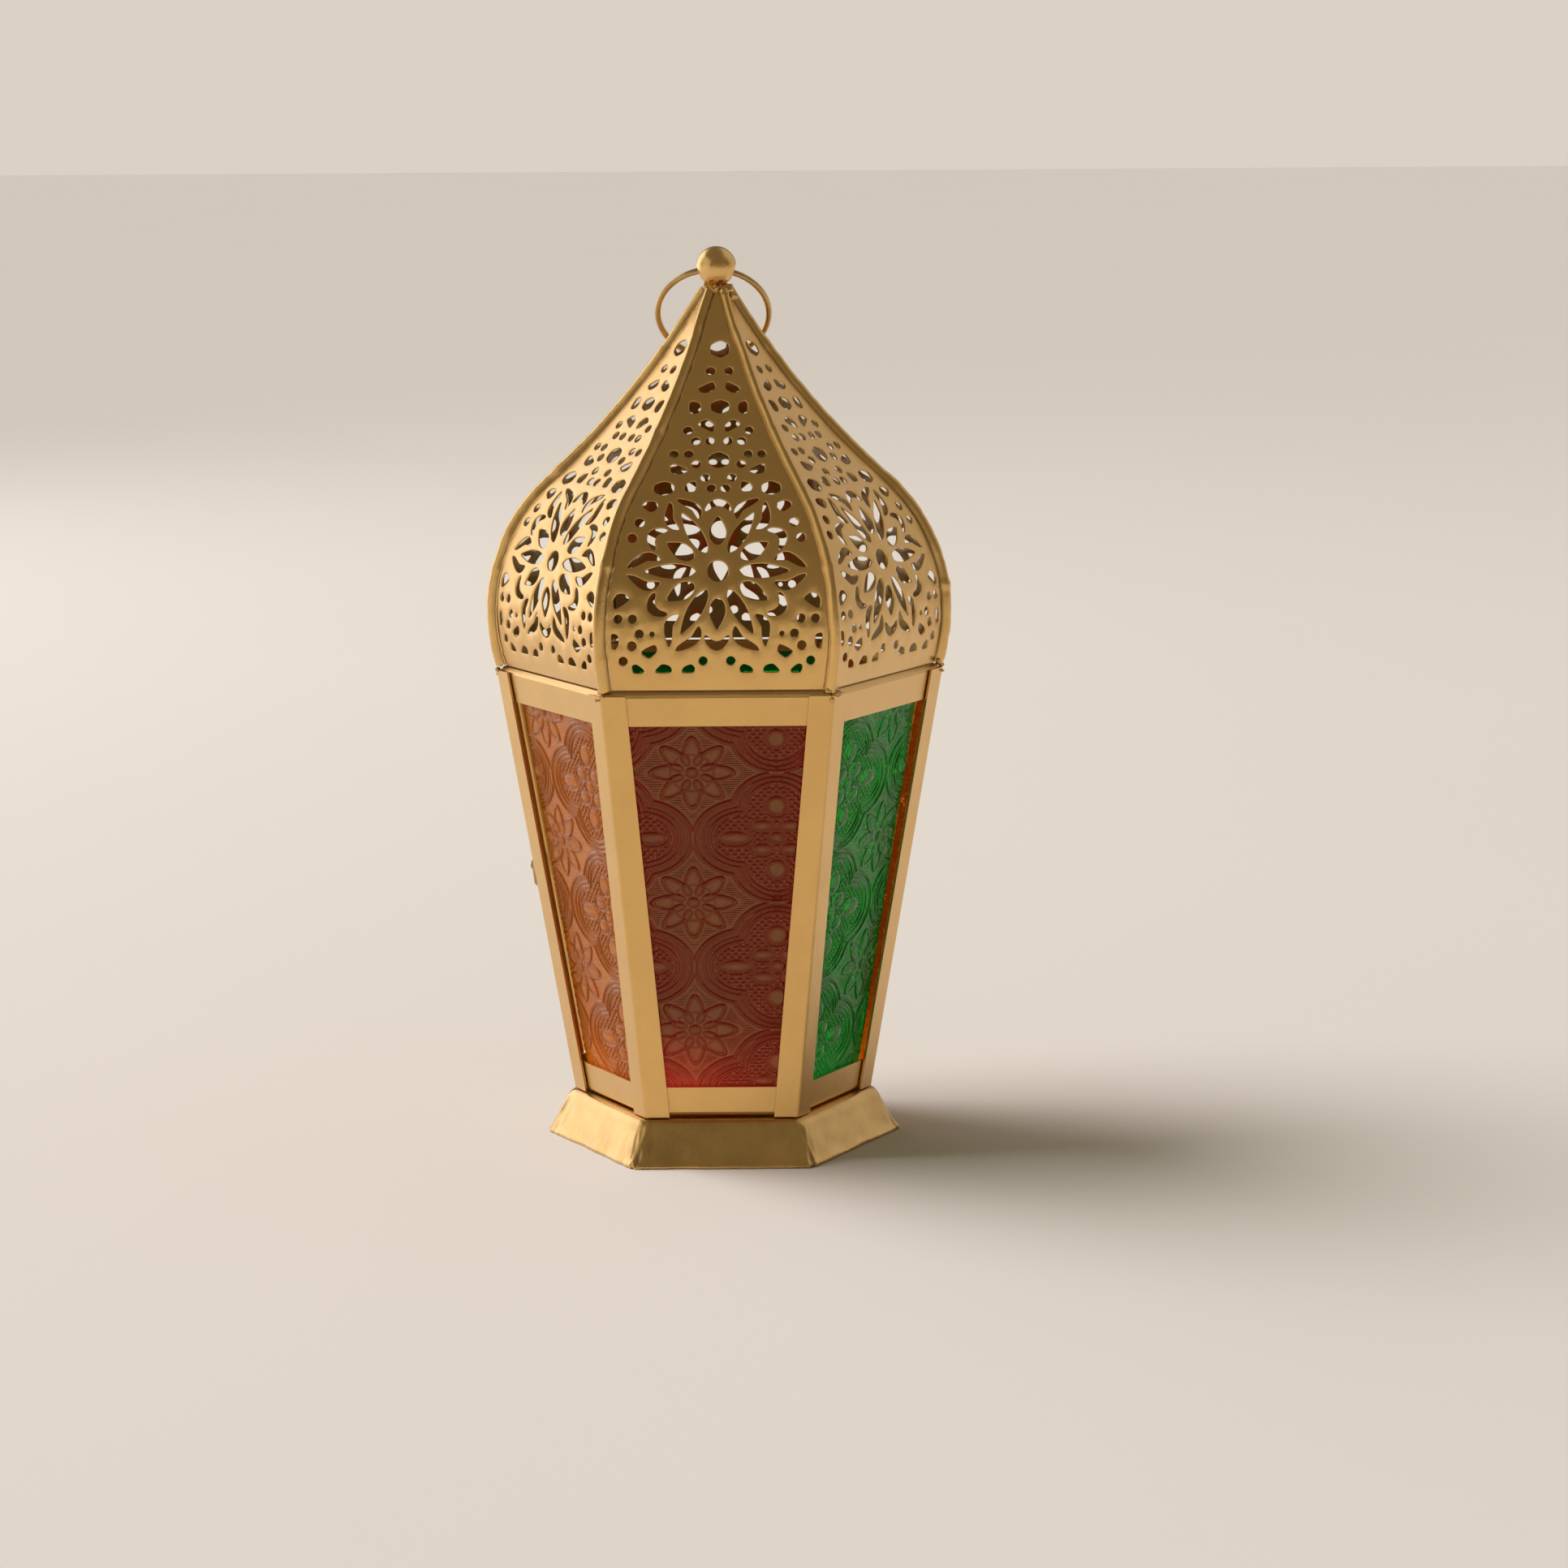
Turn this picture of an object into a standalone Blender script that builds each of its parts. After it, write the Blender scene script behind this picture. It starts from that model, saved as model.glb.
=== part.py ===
"""Candle lantern: a six-sided sheet-metal body with coloured pressed-glass panes, a pierced onion roof
with a swinging hanging ring, and a glazed door at the back on the left. Metres, +Z up, the front faces -Y,
and the origin is the centre of the base pan's foot."""

import math

import bmesh
import bpy
import numpy as np
from mathutils import Matrix, Vector
from mathutils.geometry import delaunay_2d_cdt

MM = 0.001
SIDES = 6
HALF_TURN = math.pi / SIDES                      # half the angle that one side spans, seen from above

# ---------------------------------------------------------------- driving dimensions, millimetres
GAP = 0.3                                        # clearance between pieces that are soldered or rest together

PAN_LIP_RADIUS = 48.3                            # across corners, as are all radii of six-sided pieces
PAN_HEIGHT = 12.1
PAN_SHEET = 0.5
PAN_LIP_BEAD = 1.1                               # height of the rolled lip
PAN_SHOULDER = 2.6                               # height of the rounded shoulder under the flat top
PAN_TOP_OVERHANG = 1.0                           # how far the shoulder stands out past the body
PAN_CORNER_ROUND = 3.5

BODY_BASE_RADIUS = 40.5
BODY_TOP_RADIUS = 60.0
BODY_HEIGHT = 115.1
POST_FLANGE = 6.4
POST_SHEET = 0.6
POST_BEND = 1.0
RAIL_HEIGHT = 8.2
RAIL_SHEET = 0.5
RAIL_INNER_LEG = 2.6
RAIL_BEND = 1.3
RAIL_LEDGE = 1.2                                 # the top rail's ledge above the posts' ends

GLASS_THICKNESS = 2.6
GLASS_TOP_WIDTH = 43.0
GLASS_FOOT_WIDTH = 30.0
BACK_GLASS_TOP_WIDTH = 52.0                      # the back panes fill their openings
BACK_GLASS_FOOT_WIDTH = 34.0
BACK_PANES = (3, 4)
GLASS_END_PLAY = 1.0                             # between a pane's end and the bottom of its channel

ROOF_HEIGHT = 99.5
ROOF_SHEET = 0.5
ROOF_FOOT_INSET = 1.8                            # roof's foot inside the body's top corner
ROOF_BELLY_RADIUS = 47.0
ROOF_BELLY_RISE = 14.3                           # from the foot up to the widest place
ROOF_TURN_ANGLE = 48.0                           # slope from vertical where the belly meets the neck
ROOF_TOP_RADIUS = 3.5
ROOF_ROWS = 13

RIB_WIDTH = 3.2
RIB_TOP_WIDTH = 2.5
RIB_HEIGHT = 1.1

ROSETTE_HEIGHT = 31.1                            # up the flat sheet, from the roof's foot
ROSETTE_MARGIN = 10.4                            # from a long petal's tip to the sheet's side edge
COLUMN_HOLES = ((0.223, 3.0), (0.476, 1.7), (0.74, 2.5))   # share of the way up to the top, radius

BALL_RADIUS = 5.3
BALL_BORE = 2.1
BALL_BORE_DROP = 1.4                             # the bore's axis below the ball's middle
STEM_RADIUS = 1.5
STEM_LENGTH = 13.0
RING_RADIUS = 14.8
RING_WIRE = 1.64
RING_SIDE_SHIFT = -1.0
RING_RISE = 0.7                                  # the wire's middle above the swing axis, inside the bore
RING_CLEARANCE = 0.4

CUP_RADIUS = 20.6
CUP_HEIGHT = 8.0
CUP_SHEET = 0.5
CUP_DIMPLE_DEPTH = 1.2
RIVET_SHANK = 1.0
RIVET_HEAD = 2.4
RIVET_HEAD_HEIGHT = 0.7
RIVET_HOLE_PLAY = 0.3

DOOR_SIDE = 4                                    # the side whose pane is the door, at the back on the left
DOOR_HINGE_PLAY = 0.5
DOOR_FREE_PLAY = 0.8
DOOR_END_PLAY = 0.5
DOOR_STRIP = 4.0
DOOR_INNER_LEG = 3.0
DOOR_SHEET = 0.5
PIN_RADIUS = 0.5
PIN_PLAY = 0.15
KNUCKLE_SHEET = 0.4
KNUCKLE_LENGTH = 4.0
LEAF_WIDTH = 3.2
HINGE_HEIGHTS = (22.0, 78.0)                     # up the hinge line from the body's foot
KNOB_RADIUS = 1.7
KNOB_LENGTH = 3.4
LATCH_HEIGHT = 62.0
LATCH_LENGTH = 7.4
LATCH_WIDTH = 3.2
LATCH_SHEET = 0.6
STUD_RADIUS = 0.8
STUD_HEAD = 1.5
STUD_PLAY = 0.1
KNOB_DROP = 14.0                                 # the knob below the latch

# ---------------------------------------------------------------- worked-out sizes
BODY_FOOT_Z = PAN_HEIGHT + GAP
BODY_TOP_Z = BODY_FOOT_Z + BODY_HEIGHT
FLARE = (BODY_TOP_RADIUS - BODY_BASE_RADIUS) / BODY_HEIGHT
LEAN = math.atan(FLARE * math.cos(HALF_TURN))    # how far each side leans out, from vertical
SIDE_LENGTH = BODY_HEIGHT / math.cos(LEAN)
LEDGE_Z = BODY_TOP_Z + RAIL_LEDGE
ROOF_FOOT_Z = LEDGE_Z + GAP
ROOF_FOOT_RADIUS = BODY_TOP_RADIUS - ROOF_FOOT_INSET
ROOF_TOP_Z = ROOF_FOOT_Z + ROOF_HEIGHT
BALL_Z = ROOF_TOP_Z + BALL_RADIUS + 3 * GAP
SWING_Z = BALL_Z - BALL_BORE_DROP                # the ring swings about the bore's axis
RAIL_DEPTH = POST_SHEET + GAP                    # from the side's plane in to a rail's outer face
GLASS_DEPTH = RAIL_DEPTH + RAIL_SHEET + GAP
RAIL_INNER_DEPTH = GLASS_DEPTH + GLASS_THICKNESS + GAP


# ---------------------------------------------------------------- making objects
def clear_scene():
    for old in list(bpy.data.objects):
        bpy.data.objects.remove(old)


def finish(name, colour, roughness, metallic, alpha=1.0):
    """A Principled BSDF material."""
    material = bpy.data.materials.new(name)
    material.use_nodes = True
    shader = material.node_tree.nodes["Principled BSDF"]
    shader.inputs["Base Color"].default_value = (*colour, 1.0)
    shader.inputs["Roughness"].default_value = roughness
    shader.inputs["Metallic"].default_value = metallic
    shader.inputs["Alpha"].default_value = alpha
    material.diffuse_color = (*colour, alpha)
    return material


def add_piece(name, points, faces, material, pivot=None, sharp_angle=None):
    """One closed solid from points in millimetres, with its faces turned outwards."""
    mesh = bpy.data.meshes.new(name)
    mesh.from_pydata((np.asarray(points, float) * MM).tolist(), [], [list(map(int, face)) for face in faces])
    shape = bmesh.new()
    shape.from_mesh(mesh)
    bmesh.ops.recalc_face_normals(shape, faces=shape.faces)
    shape.to_mesh(mesh)
    shape.free()
    mesh.materials.append(material)
    if sharp_angle is not None:
        mesh.shade_smooth()
        mesh.set_sharp_from_angle(angle=math.radians(sharp_angle))
    piece = bpy.data.objects.new(name, mesh)
    bpy.context.collection.objects.link(piece)
    if pivot is not None:
        piece.parent = pivot
        piece.matrix_parent_inverse = pivot.matrix_world.inverted()
    return piece


def add_pivot(name, place, axis):
    """An empty on a joint's axis, its Z along the axis."""
    pivot = bpy.data.objects.new(name, None)
    pivot.empty_display_size = 0.01
    bpy.context.collection.objects.link(pivot)
    turn = Vector((0, 0, 1)).rotation_difference(Vector(axis)).to_matrix().to_4x4()
    pivot.matrix_world = Matrix.Translation(Vector(place) * MM) @ turn
    return pivot


def loft(rings, closed=False):
    """Faces between rings of equal point count. Open lofts get end caps; a closed one joins its ends."""
    rings = np.asarray(rings, float)
    count, size = rings.shape[:2]
    faces = []
    for row in range(count if closed else count - 1):
        here, there = row * size, (row + 1) % count * size
        for i in range(size):
            j = (i + 1) % size
            faces.append((here + i, here + j, there + j, there + i))
    if not closed:
        faces.append(range(size - 1, -1, -1))
        faces.append(range((count - 1) * size, count * size))
    return rings.reshape(-1, 3), faces


def turned(profile, segments):
    """A lathe about Z. The profile (radius, height) is a closed loop, or runs from axis to axis."""
    points, faces, rows = [], [], []
    for radius, height in profile:
        if radius == 0:
            rows.append([len(points)] * segments)
            points.append((0, 0, height))
            continue
        rows.append(list(range(len(points), len(points) + segments)))
        for i in range(segments):
            angle = 2 * math.pi * i / segments
            points.append((radius * math.cos(angle), radius * math.sin(angle), height))
    pole_to_pole = profile[0][0] == 0
    for k in range(len(rows) - 1 if pole_to_pole else len(rows)):
        low, high = rows[k], rows[(k + 1) % len(rows)]
        for i in range(segments):
            j = (i + 1) % segments
            face = list(dict.fromkeys((low[i], low[j], high[j], high[i])))
            faces.append(face)
    return np.array(points, float), faces


def stand_up(points, place, axis):
    """Turns a lathe's points from Z to another axis and moves them to a place."""
    turn = np.array(Vector((0, 0, 1)).rotation_difference(Vector(axis)).to_matrix())
    return points @ turn.T + place


# ---------------------------------------------------------------- flat outlines
def rounded(path, radius, steps=3):
    """A polyline with each inner corner replaced by an arc of the given radius."""
    path = [np.array(point, float) for point in path]
    out = [path[0]]
    for before, corner, after in zip(path, path[1:], path[2:]):
        to_before = (before - corner) / np.linalg.norm(before - corner)
        to_after = (after - corner) / np.linalg.norm(after - corner)
        half = math.acos(np.clip(to_before @ to_after, -1, 1)) / 2
        middle = (to_before + to_after) / np.linalg.norm(to_before + to_after)
        centre = corner + middle * radius / math.sin(half)
        start = corner + to_before * radius / math.tan(half) - centre
        end = corner + to_after * radius / math.tan(half) - centre
        sweep = math.atan2(start[0] * end[1] - start[1] * end[0], start @ end)
        for i in range(steps + 1):
            angle = sweep * i / steps
            turn = np.array([[math.cos(angle), -math.sin(angle)], [math.sin(angle), math.cos(angle)]])
            out.append(centre + turn @ start)
    return out + [path[-1]]


def strip(path, thickness):
    """The closed outline of a thin sheet whose middle follows the path."""
    path = np.array(path, float)
    along = np.diff(path, axis=0)
    along /= np.linalg.norm(along, axis=1)[:, None]
    before = np.vstack([along[:1], along])
    after = np.vstack([along, along[-1:]])
    mean = before + after
    mean /= np.linalg.norm(mean, axis=1)[:, None]
    side = np.stack([-mean[:, 1], mean[:, 0]], axis=1) / np.sum(mean * after, axis=1)[:, None]
    return np.vstack([path + side * thickness / 2, (path - side * thickness / 2)[::-1]])


def hexagon_ring(radius, corner_round, height, steps=3):
    """A six-sided ring with rounded corners at a given height."""
    corner_round = min(corner_round, 0.8 * radius)
    points = []
    for k in range(SIDES):
        angle = 2 * HALF_TURN * k
        centre = radius - corner_round / math.cos(HALF_TURN)
        for i in range(steps + 1):
            swing = angle + HALF_TURN * (2 * i / steps - 1)
            points.append((centre * math.cos(angle) + corner_round * math.cos(swing),
                           centre * math.sin(angle) + corner_round * math.sin(swing), height))
    return points


# ---------------------------------------------------------------- places on the body
def body_radius(z):
    """Corner radius of the flared body at height z."""
    return BODY_BASE_RADIUS + (z - BODY_FOOT_Z) * FLARE


def side_directions(side):
    """Across, up-slope and outward unit vectors of a side, and the middle of its foot."""
    angle = 2 * HALF_TURN * side - math.pi / 2
    out = np.array([math.cos(angle), math.sin(angle), 0])
    across = np.array([-math.sin(angle), math.cos(angle), 0])
    up = np.array([0, 0, 1.0])
    foot = out * BODY_BASE_RADIUS * math.cos(HALF_TURN) + up * BODY_FOOT_Z
    return across, out * math.sin(LEAN) + up * math.cos(LEAN), out * math.cos(LEAN) - up * math.sin(LEAN), foot


def on_side(side, x, up, out):
    """World point from a place on a side: x across, up the slope, out from its plane."""
    across, slope, normal, foot = side_directions(side)
    return foot + across * x + slope * up + normal * out


def edge_half_width(up):
    """Half the side's width, between its two corners, at a distance up the slope."""
    return (BODY_BASE_RADIUS + (BODY_TOP_RADIUS - BODY_BASE_RADIUS) * up / SIDE_LENGTH) / 2


def opening_half_width(up):
    """Half the clear width between two posts' flanges."""
    return edge_half_width(up) - POST_FLANGE


# ---------------------------------------------------------------- base pan and candle cup
def base_pan(metal):
    """Pressed pan: a flaring skirt with a rolled lip, a rounded shoulder and a flat floor on top."""
    top = BODY_BASE_RADIUS + PAN_TOP_OVERHANG
    skirt_foot = PAN_LIP_RADIUS - 0.7
    hole = RIVET_SHANK + RIVET_HOLE_PLAY
    shoulder_z = PAN_HEIGHT - PAN_SHOULDER
    skirt_top = top + 1.6
    outer = [(PAN_LIP_RADIUS - 1.0, 0), (PAN_LIP_RADIUS - 0.2, 0), (PAN_LIP_RADIUS, PAN_LIP_BEAD / 2),
             (PAN_LIP_RADIUS - 0.2, PAN_LIP_BEAD), (skirt_foot, PAN_LIP_BEAD + 0.5),
             (skirt_top, shoulder_z), (top + 0.9, PAN_HEIGHT - 0.9), (top, PAN_HEIGHT - 0.2),
             (top - 1.2, PAN_HEIGHT), (hole, PAN_HEIGHT)]
    inner = [(hole, PAN_HEIGHT - PAN_SHEET), (top - 1.4, PAN_HEIGHT - PAN_SHEET),
             (top - 0.4, PAN_HEIGHT - PAN_SHEET - 0.3), (top + 0.3, PAN_HEIGHT - PAN_SHEET - 0.9),
             (skirt_top - PAN_SHEET - 0.1, shoulder_z), (skirt_foot - PAN_SHEET - 0.1, PAN_LIP_BEAD + 0.5)]
    rings = [hexagon_ring(radius, PAN_CORNER_ROUND, z) for radius, z in outer + inner]
    return add_piece("base_pan", *loft(rings, closed=True), metal, sharp_angle=25)


def candle_cup(metal):
    """Shallow turned cup for a tealight, its centre dimpled down to the pan's floor round the rivet."""
    low = PAN_HEIGHT + GAP
    floor = low + CUP_DIMPLE_DEPTH
    rim = low + CUP_HEIGHT
    inside = CUP_RADIUS - CUP_SHEET
    hole = RIVET_SHANK + RIVET_HOLE_PLAY
    dimple = RIVET_HEAD + 1.0
    slope = 1.0
    profile = [(hole, low), (dimple, low), (dimple + slope, floor), (CUP_RADIUS - 1.2, floor),
               (CUP_RADIUS - 0.3, floor + 0.3), (CUP_RADIUS, floor + 1.2), (CUP_RADIUS, rim - 1.0),
               (CUP_RADIUS + 0.7, rim - 0.7), (CUP_RADIUS + 0.8, rim - 0.2), (CUP_RADIUS, rim),
               (inside, rim - 0.4), (inside, floor + 1.3), (inside - 0.8, floor + CUP_SHEET),
               (dimple + slope - 0.2, floor + CUP_SHEET), (dimple - 0.2, low + CUP_SHEET),
               (hole, low + CUP_SHEET)]
    return add_piece("candle_cup", *turned(profile, 32), metal, sharp_angle=40)


def cup_rivet(metal):
    """Rivet through the cup's floor and the pan's floor."""
    low = PAN_HEIGHT - PAN_SHEET - GAP
    high = PAN_HEIGHT + GAP + CUP_SHEET + GAP
    head = RIVET_HEAD_HEIGHT
    profile = [(0, low - head), (RIVET_HEAD * 0.7, low - head), (RIVET_HEAD, low - head / 2),
               (RIVET_HEAD, low), (RIVET_SHANK, low), (RIVET_SHANK, high), (RIVET_HEAD, high),
               (RIVET_HEAD, high + head / 2), (RIVET_HEAD * 0.7, high + head), (0, high + head)]
    return add_piece("candle_cup_rivet", *turned(profile, 16), metal, sharp_angle=40)


# ---------------------------------------------------------------- posts, rails and panes
def corner_post(number, metal):
    """Strip bent to the corner's 120 degrees, the same section all the way up the flare."""
    angle = 2 * HALF_TURN * (number - 1) - math.pi / 2 - HALF_TURN
    away = np.array([math.cos(angle), math.sin(angle), 0])
    sideways = np.array([-math.sin(angle), math.cos(angle), 0])
    inset = POST_SHEET / 2
    ends = [(-math.cos(2 * HALF_TURN) * POST_FLANGE, -sign * math.sin(2 * HALF_TURN) * POST_FLANGE)
            for sign in (1, -1)]
    inward = inset / math.sin(2 * HALF_TURN)
    path = [(ends[0][0] - inset * math.sin(2 * HALF_TURN), ends[0][1] + inset * math.cos(2 * HALF_TURN)),
            (-inward, 0),
            (ends[1][0] - inset * math.sin(2 * HALF_TURN), ends[1][1] - inset * math.cos(2 * HALF_TURN))]
    section = strip(rounded(path, POST_BEND - inset), POST_SHEET)
    rings = [[away * (u + body_radius(z)) + sideways * v + np.array([0, 0, z]) for u, v in section]
             for z in (BODY_FOOT_Z, BODY_TOP_Z)]
    return add_piece(f"corner_post_{number}", *loft(rings), metal, sharp_angle=30)


def side_section(out, up):
    """(distance from the axis, height) of a place on a side's middle line."""
    apothem = BODY_BASE_RADIUS * math.cos(HALF_TURN)
    return (apothem + up * math.sin(LEAN) + out * math.cos(LEAN),
            BODY_FOOT_Z + up * math.cos(LEAN) - out * math.sin(LEAN))


def rail(name, side, leg_end, inner_leg_end, web_z, metal):
    """Channel bent from strip: a face leg, a level web and an inner leg, mitred at the corners."""
    face = -RAIL_DEPTH - RAIL_SHEET / 2
    inner = -RAIL_INNER_DEPTH - RAIL_SHEET / 2
    outer_leg, inner_leg = side_section(face, leg_end), side_section(inner, inner_leg_end)
    slope = math.tan(LEAN)
    corners = [(leg[0] + (web_z - leg[1]) * slope, web_z) for leg in (outer_leg, inner_leg)]
    section = strip(rounded([outer_leg, *corners, inner_leg], RAIL_BEND), RAIL_SHEET)
    across, _, _, _ = side_directions(side)
    out = np.array([across[1], -across[0], 0])
    rings = []
    for sign in (-1, 1):
        rings.append([out * d + np.array([0, 0, z]) + across * sign * (d * math.tan(HALF_TURN) - GAP)
                      for d, z in section])
    return add_piece(name, *loft(rings), metal, sharp_angle=30)


def top_rail(number, metal):
    return rail(f"top_rail_{number}", number - 1, SIDE_LENGTH - RAIL_HEIGHT,
                SIDE_LENGTH - RAIL_INNER_LEG, LEDGE_Z - RAIL_SHEET / 2, metal)


def bottom_rail(number, metal):
    return rail(f"bottom_rail_{number}", number - 1, RAIL_HEIGHT, RAIL_INNER_LEG,
                BODY_FOOT_Z + RAIL_SHEET / 2, metal)


def plate_on_side(side, outline, outer, thickness):
    """Flat plate parallel to a side; outline points are (across, up the slope)."""
    rings = [[on_side(side, x, up, -depth) for x, up in outline] for depth in (outer, outer + thickness)]
    return loft(rings)


def pane(number, glass):
    """Pressed-glass pane held by the two channels; the front ones are narrower than their openings."""
    low = GLASS_END_PLAY + RAIL_SHEET
    high = SIDE_LENGTH - GLASS_END_PLAY
    foot_width, top_width = GLASS_FOOT_WIDTH, GLASS_TOP_WIDTH
    if number in BACK_PANES:
        foot_width, top_width = BACK_GLASS_FOOT_WIDTH, BACK_GLASS_TOP_WIDTH
    outline = [(-foot_width / 2, low), (foot_width / 2, low), (top_width / 2, high), (-top_width / 2, high)]
    plate = plate_on_side(number - 1, outline, GLASS_DEPTH, GLASS_THICKNESS)
    return add_piece(f"glass_pane_{number}", *plate, glass)


# ---------------------------------------------------------------- roof
def roof_corner_line(count):
    """Corner radius and height up the roof: a belly arc, then a hollow neck arc tangent to it.

    On an arc the slope changes evenly with length, and the chord from its start points half-way
    between the two slopes, which gives each point directly."""
    foot_slope = -math.asin(ROOF_BELLY_RISE / ROOF_BELLY_RADIUS)
    turn_slope = math.radians(ROOF_TURN_ANGLE)

    def arc(start, slope, end_slope, length, share):
        swing = (end_slope - slope) * share
        chord = length * share * np.sinc(swing / 2 / math.pi)
        heading = slope + swing / 2
        return start[0] - chord * math.sin(heading), start[1] + chord * math.cos(heading)

    foot = (ROOF_FOOT_RADIUS, ROOF_FOOT_Z)
    belly_length = ROOF_BELLY_RADIUS * (turn_slope - foot_slope)
    turn = arc(foot, foot_slope, turn_slope, belly_length, 1)
    reach = (turn[0] - ROOF_TOP_RADIUS, ROOF_TOP_Z - turn[1])
    top_slope = 2 * math.atan2(*reach) - turn_slope
    neck_length = math.hypot(*reach) / np.sinc((turn_slope - top_slope) / 2 / math.pi)
    line = []
    for i in range(count):
        place = (belly_length + neck_length) * i / (count - 1)
        if place <= belly_length:
            line.append(arc(foot, foot_slope, turn_slope, belly_length, place / belly_length))
        else:
            line.append(arc(turn, turn_slope, top_slope, neck_length, (place - belly_length) / neck_length))
    return np.array(line)


def petal(centre, angle, near, far, width):
    """Leaf outline from near to far along a ray, pointed at its far end."""
    ray = np.array([math.cos(angle), math.sin(angle)])
    side = np.array([-ray[1], ray[0]])
    shape = [(near, 0), (near + (far - near) * 0.25, -0.42), (near + (far - near) * 0.6, -0.45),
             (far, 0), (near + (far - near) * 0.6, 0.45), (near + (far - near) * 0.25, 0.42)]
    return np.array([centre + ray * along + side * across * width for along, across in shape])


def regular(centre, radius, count, start=0.0):
    angles = start + 2 * math.pi * np.arange(count) / count
    return centre + radius * np.stack([np.cos(angles), np.sin(angles)], axis=1)


def roof_holes(half_width, length):
    """The larger piercings of one roof sheet, on the flat (across, up): a rosette and a column."""
    centre = np.array([0.0, ROSETTE_HEIGHT])
    reach = half_width(ROSETTE_HEIGHT) - ROSETTE_MARGIN
    holes = [regular(centre, 0.145 * reach, 10)]
    for k in range(6):
        holes.append(petal(centre, k * math.pi / 3, 0.31 * reach, reach, 0.2 * reach))
        holes.append(petal(centre, (k + 0.5) * math.pi / 3, 0.4 * reach, 0.79 * reach, 0.25 * reach))
    rosette_top = ROSETTE_HEIGHT + reach
    for share, radius in COLUMN_HOLES:
        holes.append(regular((0.0, rosette_top + (length - rosette_top) * share), radius, 6))
    return holes


def inside(points, outline):
    """Which points lie inside a closed outline."""
    x, y = points[:, 0], points[:, 1]
    hit = np.zeros(len(points), bool)
    for (x1, y1), (x2, y2) in zip(outline, np.roll(outline, -1, axis=0)):
        if y1 == y2:
            continue
        crosses = (y1 > y) != (y2 > y)
        hit ^= crosses & (x < (x2 - x1) * (y - y1) / (y2 - y1) + x1)
    return hit


def roof_panel(number, metal):
    """One curved roof sheet, laid out flat, pierced, and bent back onto the roof's profile."""
    line = roof_corner_line(ROOF_ROWS)
    apothem, height = line[:, 0] * math.cos(HALF_TURN), line[:, 1]
    half = line[:, 0] * math.sin(HALF_TURN) - GAP / 2 / math.cos(HALF_TURN)
    steps = np.hypot(np.diff(apothem), np.diff(height))
    flat = np.concatenate([[0], np.cumsum(steps)])
    outline = np.vstack([np.stack([half, flat], 1), np.stack([-half, flat], 1)[::-1]])
    holes = roof_holes(lambda up: float(np.interp(up, flat, half)), flat[-1])

    points = [tuple(point) for point in outline]
    edges = [(i, (i + 1) % len(points)) for i in range(len(points))]
    edges += [(i, len(points) - 1 - i) for i in range(1, ROOF_ROWS - 1)]
    for hole in holes:
        first = len(points)
        points += [tuple(point) for point in hole]
        edges += [(first + i, first + (i + 1) % len(hole)) for i in range(len(hole))]
    vertices, _, faces, *_ = delaunay_2d_cdt([Vector(point) for point in points], edges, [], 0, 1e-5)
    sheet = np.array([tuple(vertex) for vertex in vertices])
    middles = np.array([sheet[list(face)].mean(axis=0) for face in faces])
    keep = inside(middles, outline)
    for hole in holes:
        keep &= ~inside(middles, hole)
    faces = [tuple(face) for face, kept in zip(faces, keep) if kept]

    slope = np.arctan2(-np.diff(apothem), np.diff(height))
    row_slope = np.concatenate([slope[:1], (slope[1:] + slope[:-1]) / 2, slope[-1:]])
    bend = np.interp(sheet[:, 1], flat, row_slope)
    a, z = np.interp(sheet[:, 1], flat, apothem), np.interp(sheet[:, 1], flat, height)
    across, _, _, _ = side_directions(number - 1)
    out = np.array([across[1], -across[0], 0])
    layers = []
    for depth in (0, ROOF_SHEET):
        d = a - depth * np.cos(bend)
        tuck = 1 - depth * np.cos(bend) / np.maximum(a, ROOF_SHEET)
        layers.append(out * d[:, None] + across * (sheet[:, 0] * tuck)[:, None]
                      + np.array([0, 0, 1.0]) * (z - depth * np.sin(bend))[:, None])
    used = sorted({i for face in faces for i in face})
    place = {old: new for new, old in enumerate(used)}
    faces = [tuple(place[i] for i in face) for face in faces]
    size = len(used)
    directed = {(face[i], face[(i + 1) % len(face)]) for face in faces for i in range(len(face))}
    rim = [(i, j) for i, j in directed if (j, i) not in directed]
    solid = faces + [tuple(i + size for i in reversed(face)) for face in faces]
    solid += [(j, i, i + size, j + size) for i, j in sorted(rim)]
    corners = np.vstack([layer[used] for layer in layers])
    return add_piece(f"roof_panel_{number}", corners, solid, metal, sharp_angle=30)


def roof_rib(number, metal):
    """Half-round bead soldered over the seam between two roof sheets."""
    line = roof_corner_line(2 * ROOF_ROWS - 1)
    angle = 2 * HALF_TURN * (number - 1) - math.pi / 2 - HALF_TURN
    away = np.array([math.cos(angle), math.sin(angle), 0])
    sideways = np.array([-math.sin(angle), math.cos(angle), 0])
    up = np.array([0, 0, 1.0])
    slope = np.gradient(line, axis=0)
    slope /= np.linalg.norm(slope, axis=1)[:, None]
    rings = []
    for i, (radius, z) in enumerate(line):
        share = i / (len(line) - 1)
        half = (RIB_WIDTH + (RIB_TOP_WIDTH - RIB_WIDTH) * share) / 2
        outward = away * slope[i, 1] - up * slope[i, 0]
        fall = half * math.tan(HALF_TURN)
        section = [(0, GAP), (half, GAP - fall)]
        for k in range(1, 6):
            swing = math.pi * k / 6
            section.append((half * math.cos(swing), GAP + RIB_HEIGHT * math.sin(swing)
                            - fall * (1 - math.sin(swing))))
        section.append((-half, GAP - fall))
        centre = away * radius + up * (z + GAP * (i == 0))
        rings.append([centre + sideways * v + outward * w for v, w in section])
    return add_piece(f"roof_rib_{number}", *loft(rings), metal, sharp_angle=50)


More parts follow.
